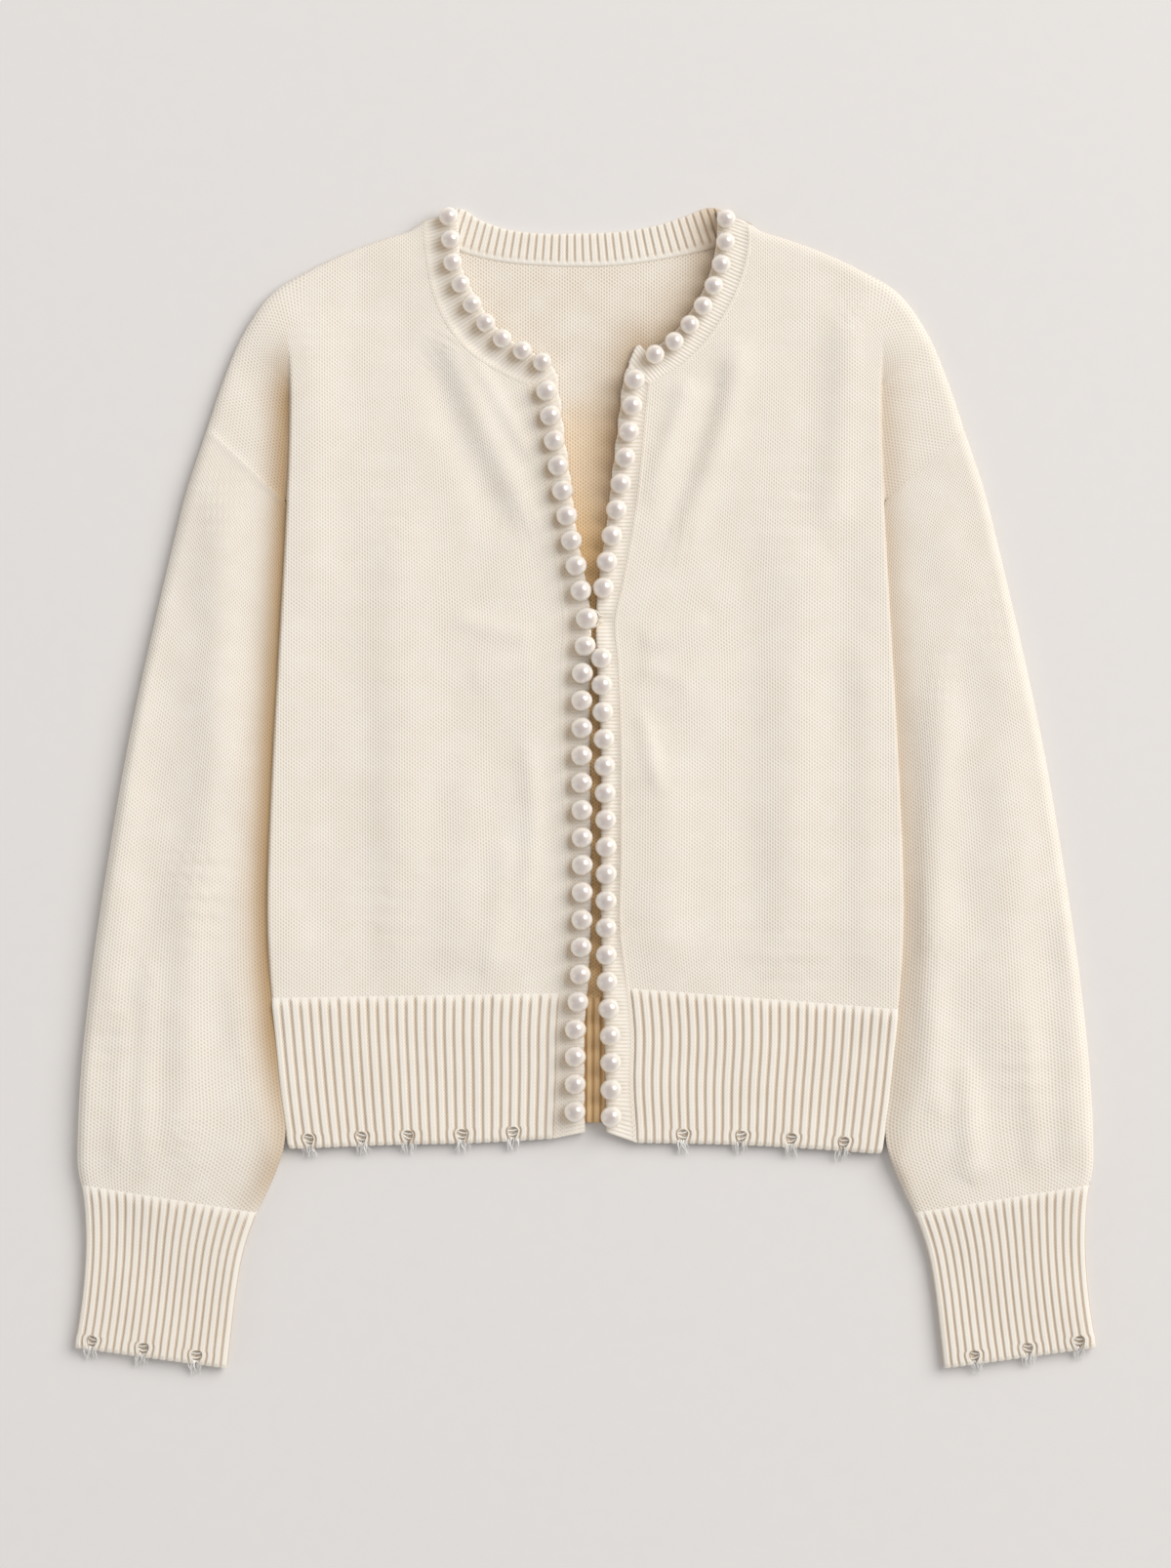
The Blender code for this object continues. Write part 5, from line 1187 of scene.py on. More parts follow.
def back_panel():
    """One wall from side to side: two shoulders above the neckline, flaps outside the armholes."""
    shoulder_y = shoulder_top(BODY_SIDE["x"][0])
    steps = roll_steps(shoulder_y - FOLD_TOP_Y, SLOPE_ROLL * UNDER_ROLL, 10, BACK_BENDS)
    upper = np.concatenate([shoulder_y - steps, np.linspace(FOLD_TOP_Y, ARMPIT[1], 24)[1:]])
    armpit_row = len(upper) - 1
    low = BACK_HEM_TOP
    side_y = np.concatenate([upper, np.linspace(ARMPIT[1], low, BACK_LOWER_ROWS + 1)[1:]])
    side_x = body_side(side_y)
    side_line = np.stack([side_x, side_y], -1)
    neck_x = np.linspace(*NECK_SPAN, NECK_COLUMNS)
    neck_y = smooth(NECK_BACK["low_x"], NECK_BACK["low_y"], neck_x) - NECK_GAP
    inner_shares = roll_steps(1.0, UNDER_ROLL / (80 * MM), BACK_SIDE_COLUMNS, BACK_BENDS)
    left = -side_x[:, None] + (neck_x[0] + side_x)[:, None] * inner_shares
    right = side_x[:, None] + (neck_x[-1] - side_x)[:, None] * inner_shares[::-1]
    x = np.concatenate([left, np.repeat(neck_x[None, 1:-1], len(side_y), 0), right], axis=1)
    top = shoulder_top(np.abs(x[0]))
    middle = slice(len(inner_shares) - 1, len(inner_shares) + len(neck_x) - 1)
    top[middle] = neck_y
    down = (side_y[0] - side_y) / (side_y[0] - side_y[-1])
    y = top[None] + (low - top)[None] * down[:, None]
    blend = ease((np.abs(x) - NECK_SIDE_X) / NECK_SIDE_RUN)
    level = side_y[:, None] + (top - side_y[0]) * (1 - ease(down * 4))[:, None]
    y = y + blend * (level - y)
    body = np.stack([x, y], -1)
    flap = flap_plan(1, side_line, armpit_row, 12, BACK_BENDS)
    plan = np.concatenate([flap * np.array([-1, 1]), body, flap[:, ::-1]], axis=1)
    columns = flap.shape[1]
    keep = np.ones((plan.shape[0] - 1, plan.shape[1] - 1), bool)
    keep[armpit_row:, :columns] = False
    keep[armpit_row:, -columns:] = False
    points = half(plan)
    cols = plan.shape[1]
    inside = np.s_[armpit_row:, columns:cols - columns]
    height = under_height(points, OUTER_EDGE)
    height[inside] = np.maximum(height, under_height(points, LOW_SIDE_EDGE))[inside]
    clear = ease(distance(points, OUTER_EDGE) / (20 * MM))
    height = height + crease_relief(BACK_CREASES, plan) * clear
    grid = raised(plan, height)
    normal = grid_normals(grid, up=-1.0)
    lower = np.s_[armpit_row + 1:, columns:cols - columns]
    normal[lower] = grid_normals(grid[lower], up=-1.0)
    round_over(normal, plan, UNDER_ROLL, UNDER_LOFT, -1.0)
    normal[0, np.abs(plan[0, :, 0]) < NECK_LEVEL] = (0, 0, -1)
    for column in (columns, cols - columns - 1):
        level_out(normal, np.s_[armpit_row + 1:, column], plan, SIDE_EDGE)
    square_along(normal, grid, np.s_[-1, columns:cols - columns])
    # Painted warm shade in the centre gap and painted shade along the right neckband.
    piece = cloth("back_panel_knit", grid, grid - JERSEY * normal, body_stitches(plan),
                  [jersey(), turned_jersey()],
                  {"painted_warm_shade": gap_painted_shade(plan), "shade": neck_shade(plan)}, keep)
    place_piece(piece, "back_panel")


# --- sleeves and cuffs ---
SLEEVE_RINGS = 190
SLEEVE_TOP_COLUMNS = 62
SLEEVE_LOW_COLUMNS = 26
CUFF_SAMPLES = 8            # columns to a rib
CUFF_LOW_COLUMNS = 54


def tube_shares(width, roll, top_count, low_count):
    """Shares across a flattened tube: upper run outer to inner edge, then lower run back."""
    bend = roll * (1 - np.cos(np.radians(FINE_BENDS))) / width
    upper = np.concatenate([bend, np.linspace(roll / width, 1 - roll / width, top_count),
                            1 - bend[::-1]])
    lower = np.concatenate([1 - bend[1:], np.linspace(1 - roll / width, roll / width, low_count),
                            bend[:0:-1]])
    return upper, lower


def tube_grid(outer, inner, upper, lower, side):
    """Grid of a flattened tube between two edge lines; shares are per ring or the same for all.

    The upper run takes the sleeve's height and the lower one the floor's, each times the quarter
    rounds of its two edges.  Distances from the outline are taken square to it.
    """
    upper = np.broadcast_to(upper, (len(outer), np.shape(upper)[-1]))
    lower = np.broadcast_to(lower, (len(outer), np.shape(lower)[-1]))
    across = (inner - outer)[:, None]
    length = np.linalg.norm(across, axis=-1)
    top_plan = outer[:, None] + across * upper[..., None]
    low_plan = outer[:, None] + across * lower[..., None]
    top = arm_height(top_plan * np.array([side, 1]))
    edge = unit(np.gradient(outer, axis=0))
    ring = unit(across[:, 0])
    skew = np.abs(edge[:, 0] * ring[:, 1] - edge[:, 1] * ring[:, 0])[:, None]
    top = SIDE_SEAM_Z + (top - SIDE_SEAM_Z) * crown(upper * length * skew / EDGE_ROLL)
    round_inner = crown((1 - upper) * length / EDGE_ROLL)
    beside_body = fade_in_above(outer[:, 1], -196 * MM, 20 * MM)[:, None]
    round_inner = round_inner + beside_body * (1 - round_inner)
    top = SIDE_SEAM_Z + (top - SIDE_SEAM_Z) * round_inner
    low = crown(lower * length * skew / UNDER_ROLL) * crown((1 - lower) * length / UNDER_ROLL)
    grid = np.concatenate([np.concatenate([top_plan, low_plan], 1),
                           np.concatenate([top, SIDE_SEAM_Z * (1 - low)], 1)[..., None]], -1)
    grid[..., 0] *= side
    return grid


def sleeve(name, side):
    """A sleeve: rings from the armhole seam to the cuff, flat below and softly raised above."""
    knit = bpy.context.scene.cardigan_knit
    share = np.concatenate([[0.0, 0.0001], np.linspace(0, 1, SLEEVE_RINGS)[1:]])
    top_share, low_share = outline_share(SHOULDER_END), outline_share_at_y(CUFF_TOP_OUTER[1])
    outer = outline_at(top_share + (low_share - top_share) * share)
    y = ARMPIT[1] + (CUFF_TOP_INNER[1] - ARMPIT[1]) * share
    inner = np.stack([smooth(SLEEVE_INNER["y"], SLEEVE_INNER["x"], y) - SEWN_OVER, y], -1)
    width = np.linalg.norm(inner - outer, axis=-1)
    shares = [tube_shares(w, EDGE_ROLL, SLEEVE_TOP_COLUMNS, SLEEVE_LOW_COLUMNS) for w in width]
    upper, lower = (np.stack([s[k] for s in shares]) for k in (0, 1))
    grid = tube_grid(outer, inner, upper, lower, side)
    normal = grid_normals(grid, wrap=True, up_column=upper.shape[1] // 2)
    for row in (0, -1):
        chord = grid[row, upper.shape[1] - 1] - grid[row, 0]
        square_to(normal, np.s_[row], np.broadcast_to(chord, grid[row].shape))
    axis = unit(np.array([side * 0.10, -1.0]))
    u = np.concatenate([upper, 2 - lower, np.full((len(share), 1), 2.0)], 1)
    mid_width = width[len(width) // 2]
    along = np.concatenate([grid[..., :2], grid[:, :1, :2]], 1) @ axis
    stitches = np.stack([u * mid_width / knit.wale, -along / knit.course], -1)
    strength = SHADE_LEFT if side < 0 else SHADE_RIGHT
    inside_edge = bell((1 - upper) * width[:, None], VALLEY_REACH)
    ends = fade_in_above(grid[:, :1, 1], -232 * MM, 40 * MM)
    ends = ends * (0.6 + 0.4 * fade_in_above(grid[:, :1, 1], -170 * MM, 60 * MM))
    shade = np.concatenate([strength * inside_edge * ends, np.zeros(lower.shape)], 1)
    tuck = SEAM_TUCK * np.array([-side * 0.69, 0.72, 0.0]) - SEAM_DROP * normal[0]
    outer, inner = knit_faces(grid, normal, np.zeros(grid.shape[:2]), tuck)
    piece = cloth(name + "_knit", outer, inner, stitches, [jersey(), turned_jersey()],
                  {"shade": shade}, wrap=True)
    place_piece(piece, name)


def rib_profile(phase, rise, dip=0.10):
    """Height of a 2 by 1 rib: 0 in the groove at whole phases, full over the two knitted wales."""
    from_groove = np.abs(phase - np.round(phase))
    crest = ease((from_groove - 0.07) / 0.17)
    return rise * crest * (1 - dip * np.exp(-((from_groove - 0.5) / 0.07) ** 2))


def rib_fade(number):
    """Length over which rib `number` grows from its seam, varied by a sine of the number."""
    return RIB_FADE * (1.25 + 0.5 * np.sin(2.4 * number))


def rib_bound(up):
    """Share of a rib's height left in each row: a smooth step of its height above the edge."""
    return (RIB_END_SHARE + (1 - RIB_END_SHARE) * ease(up / RIB_END))[:, None]


def rip_half_width(up):
    """Half width of a rip at a height above the edge: narrow mouth, wide above, rounded top."""
    below = RIP_HALF_MOUTH + (RIP_HALF_WIDE - RIP_HALF_MOUTH) * ease(up / RIP_WIDE_AT)
    over = np.clip((up - RIP_WIDE_AT) / (RIP_HEIGHT - RIP_WIDE_AT), 0, 1)
    return np.where(up > RIP_WIDE_AT, RIP_HALF_WIDE * np.sqrt(1 - over ** 2), below)


def open_rips(along, up, centres, keep):
    """Push the columns of a rib apart round each rip and drop the cells between them.

    `along` holds each point's place along the edge, `up` each row's height above the edge.
    """
    width = rip_half_width(up)[:, None] * (up < RIP_HEIGHT)[:, None]
    moved = along.copy()
    cells = []
    for centre in centres:
        cell = int(np.abs((along[-1, 1:] + along[-1, :-1]) / 2 - centre).argmin())
        middle = (along[:, cell] + along[:, cell + 1])[:, None] / 2
        side = np.where(np.arange(along.shape[1]) <= cell, -1.0, 1.0)
        moved += side * width * np.exp(-np.abs(along - middle) / RIP_PUSH)
        rows = (up[:-1] + up[1:]) / 2 < RIP_HEIGHT - 0.2 * MM
        keep[rows, cell] = False
        cells.append(cell)
    return moved, cells


def cuff(name, side):
    """A cuff: ribs on the outer skin of the upper layer, plain where it lies on the floor."""
    knit = bpy.context.scene.cardigan_knit
    length = np.linalg.norm(CUFF_END_OUTER - CUFF_TOP_OUTER)
    down = np.concatenate([[0.0, SEAM_ROW], np.linspace(0, 1 - EDGE_ROWS[0] / length, 26)[1:-1],
                           1 - EDGE_ROWS / length])
    top_share = outline_share_at_y(CUFF_TOP_OUTER[1])
    outer = outline_at(top_share + (1 - top_share) * down)
    y = CUFF_TOP_INNER[1] + (CUFF_END_INNER[1] - CUFF_TOP_INNER[1]) * down
    inner = np.stack([smooth(SLEEVE_INNER["y"], SLEEVE_INNER["x"], y) - SEWN_OVER, y], -1)
    outer[-1] += (CUFF_END_OUTER - outer[-1]) * 0.5
    width = np.linalg.norm(inner - outer, axis=-1)[:, None]
    columns = CUFF_SAMPLES * CUFF_RIBS
    even = np.linspace(0, 1, columns + 1)
    keep = np.ones((len(down) - 1, columns + 1 + CUFF_LOW_COLUMNS), bool)
    up = (1 - down) * length
    centres = np.array(CUFF_RIPS) * width[-1]
    top_keep = np.ones((len(down) - 1, columns), bool)
    low_keep = np.ones((len(down) - 1, CUFF_LOW_COLUMNS - 1), bool)
    upper, top_cells = open_rips(even * width, up, centres, top_keep)
    low_even = np.linspace(0, 1, CUFF_LOW_COLUMNS + 2)[1:-1]
    lower, _ = open_rips(low_even * width, up, centres, low_keep)
    keep[:, :columns] = top_keep
    keep[:, columns + 1:-1] = low_keep[:, ::-1]
    upper, lower = upper / width, (lower / width)[:, ::-1]
    grid = tube_grid(outer, inner, upper, lower, side)
    fall = EDGE_FALL * (1 - crown(up / EDGE_FALL_RUN))[:, None]
    grid[:, :columns + 1, 2] -= fall * crown(np.minimum(upper, 1 - upper) * 9)
    normal = grid_normals(grid, wrap=True, up_column=columns // 2)
    for row in (0, -1):
        chord = grid[row, columns] - grid[row, 0]
        square_to(normal, np.s_[row], np.broadcast_to(chord, grid[row].shape))
    phase = even * CUFF_RIBS
    bound = rib_bound(up)
    below_seam = (down * length)[:, None]
    grown = ease(below_seam / rib_fade(np.floor(phase))) * bound
    ribs = rib_profile(phase, knit.cuff_rib_rise) * grown * crown(np.minimum(even, 1 - even) * 30)
    grown = ease(below_seam / rib_fade(np.round(phase))) * bound
    relief = np.concatenate([ribs, np.zeros(lower.shape)], 1)
    groove = np.concatenate([grown * (1 - rib_profile(phase, 1.0)), np.zeros(lower.shape)], 1)
    u = np.concatenate([phase, CUFF_RIBS * (1 + (1 - low_even[::-1])), [2.0 * CUFF_RIBS]])
    v = -down * length / knit.course
    stitches = stitch_map(u * WALES_PER_RIB + 0.5, v[:, None])
    tuck = SEAM_TUCK * np.array([0.0, 1.0, 0.0]) - SEAM_DROP * normal[0]
    outer, inner = knit_faces(grid, normal, relief, tuck)
    piece = cloth(name + "_rib", outer, inner, stitches, [rib_knit(), turned_jersey()],
                  {"groove": groove}, keep, wrap=True)
    place_piece(piece, name)
    return [(grid[-1, c, :2] + grid[-1, c + 1, :2]) / 2 for c in top_cells]


# --- hem ribs ---
HEM_SAMPLES = 8


def front_hem(name, side, band, hem, ribs, rips):
    """A front hem rib: one run of ribs, opened round its rips."""
    knit = bpy.context.scene.cardigan_knit
    columns = HEM_SAMPLES * ribs
    share = np.linspace(0, 1, columns + 1)
    first, last = (0, -1) if side < 0 else (-1, 0)
    top = hem["top"][first] + (hem["top"][last] - hem["top"][first]) * share
    mid_y = (BACK_HEM_TOP + BACK_HEM_LOW) / 2
    mid_side = side * body_side(mid_y)
    mid_x = mid_side + (band_at(band, "seam", mid_y) - mid_side) * share
    low = smooth(hem["x"], hem["low"], mid_x)
    low += CORNER_LIFT * (1 - crown(np.abs(mid_x - mid_side) / CORNER_RUN))
    down = np.concatenate([[0.0, SEAM_ROW], np.linspace(0, 1, 30)[1:-1]])[:, None]
    rows = np.concatenate([top + (low + EDGE_ROWS[0] - top) * down, low + EDGE_ROWS[:, None]])
    side_x = side * body_side(rows[:, :1])
    band_x = band_at(band, "seam", rows[:, -1:])
    x = side_x + (band_x - side_x) * share
    up = np.concatenate([(1 - down[:, 0]) * 65 * MM + EDGE_ROWS[0], EDGE_ROWS])
    keep = np.ones((len(rows) - 1, columns), bool)
    ordered = x if x[-1, -1] > x[-1, 0] else -x
    flip = 1.0 if x[-1, -1] > x[-1, 0] else -1.0
    moved, cells = open_rips(ordered, up, flip * np.array(rips) * MM, keep)
    plan = np.stack([moved * flip, rows], -1)
    points = half(plan)
    edge = distance(points, LOW_SIDE_EDGE)
    settle = 1 - 0.5 * ease((rows[0] - rows) / (30 * MM))
    height = HEM_HEIGHT + settle * SIDE_LOFT * bell(edge, SIDE_LOFT_WIDTH)
    height = height + crease_relief(FRONT_CREASES, plan) + waviness(plan, 3)
    height -= EDGE_FALL * (1 - crown(up / EDGE_FALL_RUN))[:, None]
    height = SIDE_SEAM_Z + (height - SIDE_SEAM_Z) * crown(edge / FOLD_ROLL)
    grid = raised(plan, height)
    normal = grid_normals(grid)
    level_out(normal, np.s_[:, 0], plan, SIDE_EDGE)
    for row in (0, -1):
        square_along(normal, grid, row)
    square_along(normal, grid, np.s_[:, -1])
    phase = share * ribs
    below_seam = rows[0] - rows
    bound = rib_bound(up)
    relief = rib_profile(phase, knit.hem_rib_rise) * bound * crown(share * 60)
    relief = relief * ease(below_seam / rib_fade(np.floor(phase)))
    groove = ease(below_seam / rib_fade(np.round(phase))) * (1 - rib_profile(phase, 1.0))
    stitches = stitch_map(phase * WALES_PER_RIB + 0.5, rows / knit.course)
    outer, inner = knit_faces(grid, normal, relief, np.array([0.0, SEAM_TUCK, -SEAM_DROP]))
    piece = cloth(name + "_rib", outer, inner, stitches, [rib_knit(), turned_jersey()],
                  {"groove": groove}, keep)
    place_piece(piece, name)
    return [(grid[-1, c, :2] + grid[-1, c + 1, :2]) / 2 for c in cells]


def back_hem():
    """The back hem rib: plain below, ribs on the inner face that shows in the centre gap."""
    knit = bpy.context.scene.cardigan_knit
    y = np.concatenate([np.linspace(BACK_HEM_TOP, BACK_HEM_LOW + 3 * MM, 16),
                        BACK_HEM_LOW + np.array([2.0, 1.2, 0.6, 0.2, 0.0]) * MM])
    side_x = body_side(y)
    bend = UNDER_ROLL * (1 - np.cos(np.radians(BACK_BENDS))) / (2 * side_x.mean())
    share = np.concatenate([bend, np.linspace(bend[-1], 1 - bend[-1], 420)[1:-1], 1 - bend[::-1]])
    x = -side_x[:, None] + 2 * side_x[:, None] * share
    plan = np.stack([x, np.repeat(y[:, None], len(share), 1)], -1)
    height = under_height(half(plan), LOW_SIDE_EDGE)
    grid = raised(plan, height)
    normal = grid_normals(grid, up=-1.0)
    for column in (0, -1):
        level_out(normal, np.s_[:, column], plan, SIDE_EDGE)
    for row in (0, -1):
        square_along(normal, grid, row)
    phase = share * BACK_HEM_RIBS
    ribs = rib_profile(phase, BACK_RIB_RISE) * crown(np.minimum(share, 1 - share) * 40)
    upper = grid - (JERSEY - 0.4 * MM + ribs[None])[..., None] * normal
    stitches = stitch_map(phase * WALES_PER_RIB + 0.5, (y / knit.course)[:, None])
    groove = np.broadcast_to(1 - rib_profile(phase, 1.0), plan.shape[:2])
    # Painted warm shade where the hem shows in the centre gap; its grooves are painted darker
    # there.
    painted_warm_shade = gap_painted_shade(plan)
    piece = cloth("hem_rib_back_rib", grid, upper, stitches, [rib_knit(), rib_knit()],
                  {"groove": 1.8 * groove * (painted_warm_shade > 0.02), "painted_warm_shade": painted_warm_shade})
    place_piece(piece, "hem_rib_back")


# --- neckband and front bands ---
NECKBAND_DEPTH = 18.0 * MM
BAND_WALE = 2.4 * MM
SEAM_RISE_RUN = 6.0 * MM
PEARL_DENT = 0.9 * MM        # depth and width of the hollow that a pearl presses in its band
PEARL_DENT_WIDTH = 4.5 * MM
PEARL_SHADE_AWAY = np.array([-4.6, -2.6]) * MM     # from a pearl to the middle of its shade
PEARL_SHADE_WIDTH = 4.2 * MM
PEARL_SHADE = 0.5
LINE_DEPTH = 0.08 * MM       # of the bands' fine lines
BAND_ROWS = 720
BAND_SINK_RUN = 22.0 * MM    # the seam sinks over this above the hem
BAND_CORNER = 2.4 * MM       # rounding of the bands' upper corners
BAND_CORNER_RUN = 6.0 * MM
BULGE_REACH = 7.3 * MM       # half the way from pearl to pearl, where the edge bulges most
SWELL = 0.7 * MM
SWELL_REACH = 7.0 * MM
# Of the left (-1) and right band: the seam's sink, the edge's bulge in millimetres, and where the
# fine lines start and how strong they get.
BAND_LOOKS = {-1: {"sink": 3.6 * MM, "bulge": 0.9, "start": 4.5 * MM, "most": 0.6},
              1: {"sink": 5.9 * MM, "bulge": 0.6, "start": 2.2 * MM, "most": 1.0}}


def linking_line(from_seam, at, rise, width=0.8 * MM):
    """Raised line of stitches that links a band on, `at` from its seam."""
    return rise * bell(from_seam - at, width)


def seam_rise(seam, across):
    """Lift of a band's seam side up to the panel it is sewn to, easing off away from it."""
    level = front_height(seam, np.zeros(len(seam), bool))
    return (level - BAND_TOP)[:, None] * (1 - ease(across / SEAM_RISE_RUN))


def strip(name, first, last, share, top, relief, thickness, stitches, material, fields, sewn=0):
    """A strip between two edge lines with a level underside; column `sewn` is tucked under."""
    plan = between(first, last, share)
    height = top + relief
    plan[:, sewn] += SEAM_TUCK * unit(first - last) * (1 if sewn == 0 else -1)
    height[:, sewn] -= SEAM_DROP
    outer = raised(plan, height)
    inner = raised(plan, np.full(plan.shape[:2], top - thickness))
    return cloth(name, outer, inner, stitches, [material, material], fields)


def round_edges(share, width, radius):
    """Rounding of both long edges of a strip: 0 in the middle, -radius at the edges."""
    inward = np.minimum(share, 1 - share) * width
    return radius * (crown(inward / radius) - 1)


def neckband_back():
    """Back neckband, inner side up: ribs square to the neckline."""
    count = 12 * NECK_RIBS
    along = np.linspace(0, 1, count + 1)
    top, low = (edge_of(NECK_BACK, edge, along) for edge in ("top", "low"))
    share = (1 - np.cos(np.linspace(0, math.pi, 15))) / 2
    phase = along * NECK_RIBS
    from_seam = (1 - share) * NECKBAND_DEPTH
    ribbed = ease((from_seam - 2.2 * MM) / (1.2 * MM)) * crown(share * 8)
    linking = linking_line(from_seam, 1.3 * MM, 0.55 * MM, 1.0 * MM)
    ribs = rib_profile(phase, NECK_RIB_RISE)[:, None] * ribbed
    relief = ribs + linking + round_edges(share, NECKBAND_DEPTH, 0.8 * MM)
    stitches = stitch_map((phase * WALES_PER_RIB + 0.5)[:, None],
                          share * NECKBAND_DEPTH / bpy.context.scene.cardigan_knit.course)
    groove = 0.8 * (1 - rib_profile(phase, 1.0))[:, None] * ribbed
    piece = strip("neckband_back_rib", top, low, share, JERSEY, relief, JERSEY, stitches,
                  rib_knit(), {"groove": groove, "shade": neck_shade(between(top, low, share))},
                  sewn=-1)
    place_piece(piece, "neckband_back")


def pearl_places(name_start):
    """Plan centres of all pearls whose string's name starts so."""
    places = []
    for name, neck, first, last, inset, count in NECK_PEARLS:
        if name.startswith(name_start):
            places.append(neck_pearl_plan(neck, first, last, inset, count))
    for name, band, top, low, count in FRONT_PEARLS:
        if name.startswith(name_start):
            places.append(front_pearl_plan(band, top * MM, low * MM, count))
    return np.concatenate(places)


def neck_pearl_plan(neck, first, last, inset, count):
    """Pearls at even shares of a neckband, in from its inner edge by a share of its width."""
    share = np.linspace(first, last, count)
    outer, inner = (edge_of(neck, edge, share) for edge in ("outer", "inner"))
    return inner + (outer - inner) * np.linspace(inset[0], inset[1], count)[:, None]


def front_pearl_plan(band, top, low, count):
    """Pearls at even steps in Y on a front band's pearl line."""
    y = np.linspace(top, low, count)
    return np.stack([band_at(band, "pearl", y), y], -1)


def pearl_marks(plan, pearls):
    """Warm shade to the lower left of each pearl, and the hollow that each presses in its band."""
    shade = np.zeros(plan.shape[:2])
    dent = np.zeros(plan.shape[:2])
    for place in pearls:
        away = np.linalg.norm(plan - (place + PEARL_SHADE_AWAY), axis=-1)
        shade = np.maximum(shade, bell(away, PEARL_SHADE_WIDTH))
        under = np.linalg.norm(plan - place, axis=-1)
        dent = np.maximum(dent, bell(under, PEARL_DENT_WIDTH))
    return shade, dent


def neckband_front(name, neck):
    """Front neckband: a raised linking line at the seam, fine ribs square to the neckline."""
    along = np.linspace(0, 1, 420)
    outer, inner = (edge_of(neck, edge, along) for edge in ("outer", "inner"))
    share = (1 - np.cos(np.linspace(0, math.pi, 21))) / 2
    width = np.linalg.norm(inner - outer, axis=-1)[:, None]
    plan = between(outer, inner, share)
    shade, dent = pearl_marks(plan, pearl_places(name.replace("neckband_front", "pearls_neck")))
    linking = linking_line(share * width, 1.5 * MM, 0.4 * MM)
    free = BAND_ROUND * (crown((1 - share) * width / BAND_ROUND) - 1)
    length = np.hypot(*np.diff(outer, axis=0).T).sum()
    stripe = along * length / bpy.context.scene.cardigan_knit.band_line
    fine = LINE_DEPTH * np.cos(2 * math.pi * stripe)[:, None] * ease(share * width / (3 * MM))
    relief = free + seam_rise(outer, share * width) + linking - PEARL_DENT * dent - fine
    stitches = stitch_map(share * width / BAND_WALE, stripe[:, None])
    lines = ease((share * width - 2.2 * MM) / (1.5 * MM))
    piece = strip(name + "_knit", outer, inner, share, BAND_TOP, relief, BAND_CLOTH, stitches,
                  band_knit(), {"painted_warm_shade": PEARL_SHADE * shade, "groove": lines})
    place_piece(piece, name)


def front_band(name, band, side):
    """Front band: linking line at the seam, fine lines across, swelling between its pearls."""
    look = BAND_LOOKS[side]
    y = np.linspace(band["y"][0], band["y"][-1], BAND_ROWS + 1)
    rise = BAND_SLANT * (1 - ease((y[0] - y) / BAND_SLANT_RUN))
    sink = look["sink"] * (1 - ease((y - y[-1]) / BAND_SINK_RUN))
    seam = np.stack([band_at(band, "seam", y - sink), y - sink], -1)
    edge = np.stack([band_at(band, "edge", y), y + rise], -1)
    pearls = pearl_places(name.replace("front_band", "pearls_front"))
    pearls = np.concatenate([pearls, [[band_at(band, "pearl", BUTTON_Y), BUTTON_Y]]])
    nearest = np.abs(edge[:, 1][:, None] - pearls[:, 1]).min(-1)
    bulge = 0.5 - 0.5 * np.cos(np.clip(nearest / BULGE_REACH, 0, 1) * math.pi)
    edge[:, 0] -= side * (0.3 + look["bulge"] * bulge) * MM
    edge[:, 0] += side * BAND_CORNER * (1 - ease((y[0] - y) / BAND_CORNER_RUN))
    for line in (seam, edge):
        line[0] += np.array([0.1 * side, 1.6]) * MM
    share = (1 - np.cos(np.linspace(0, math.pi, 19))) / 2
    width = np.linalg.norm(edge - seam, axis=-1)[:, None]
    plan = between(seam, edge, share)
    shade, dent = pearl_marks(plan, pearls)
    linking = linking_line(share * width, 1.4 * MM, 0.3 * MM)
    free = BAND_ROUND * (crown((1 - share) * width / BAND_ROUND) - 1)
    stripe = y / bpy.context.scene.cardigan_knit.band_line
    swell = ease(nearest / SWELL_REACH)[:, None] * ease((share - 0.3) / 0.4)
    relief = free + seam_rise(seam, share * width) + linking - PEARL_DENT * dent
    relief[0] -= 0.3 * MM
    lines = look["most"] * ease((share * width - look["start"]) / (2 * MM))
    relief = relief + SWELL * swell - LINE_DEPTH * lines * np.cos(2 * math.pi * stripe)[:, None]
    stitches = stitch_map(share * width / BAND_WALE, stripe[:, None])
    piece = strip(name + "_knit", seam, edge, share, BAND_TOP, relief, BAND_CLOTH, stitches,
                  band_knit(), {"painted_warm_shade": PEARL_SHADE * shade, "groove": lines + 0 * relief})
    place_piece(piece, name)


# --- pearls, button and loop ---


def ball(centre, radius, heading, sides=28, rings=18):
    """A pearl: rings about the heading, with a shallow thread hole at either end.

    A ring at angle a from the heading has radius r sin(a) and lies r cos(a) along it.
    """
    angle = np.linspace(HOLE_ANGLE, math.pi - HOLE_ANGLE, rings)
    radii = np.concatenate([[0.02], np.sin(angle), [0.02]]) * radius
    along = np.concatenate([[HOLE_BOTTOM], np.cos(angle), [-HOLE_BOTTOM]]) * radius
    side = unit(np.cross(heading, (0, 0, 1.0)))
    up = np.cross(side, heading)
    turn = np.linspace(0, 2 * math.pi, sides, endpoint=False)
    spokes = np.cos(turn)[:, None] * side + np.sin(turn)[:, None] * up
    points = centre + along[:, None, None] * heading + radii[:, None, None] * spokes
    quads = ring_quads(len(radii), sides)[0]
    ends = np.arange(0, sides - 2, 2)
    first = np.stack([0 * ends, ends + 3, ends + 2, ends + 1], -1) % sides
    last = first[:, ::-1] + (len(radii) - 1) * sides
    quads = np.concatenate([quads, first, last])
    return points.reshape(-1, 3), quads, np.zeros((len(quads), 4, 2))


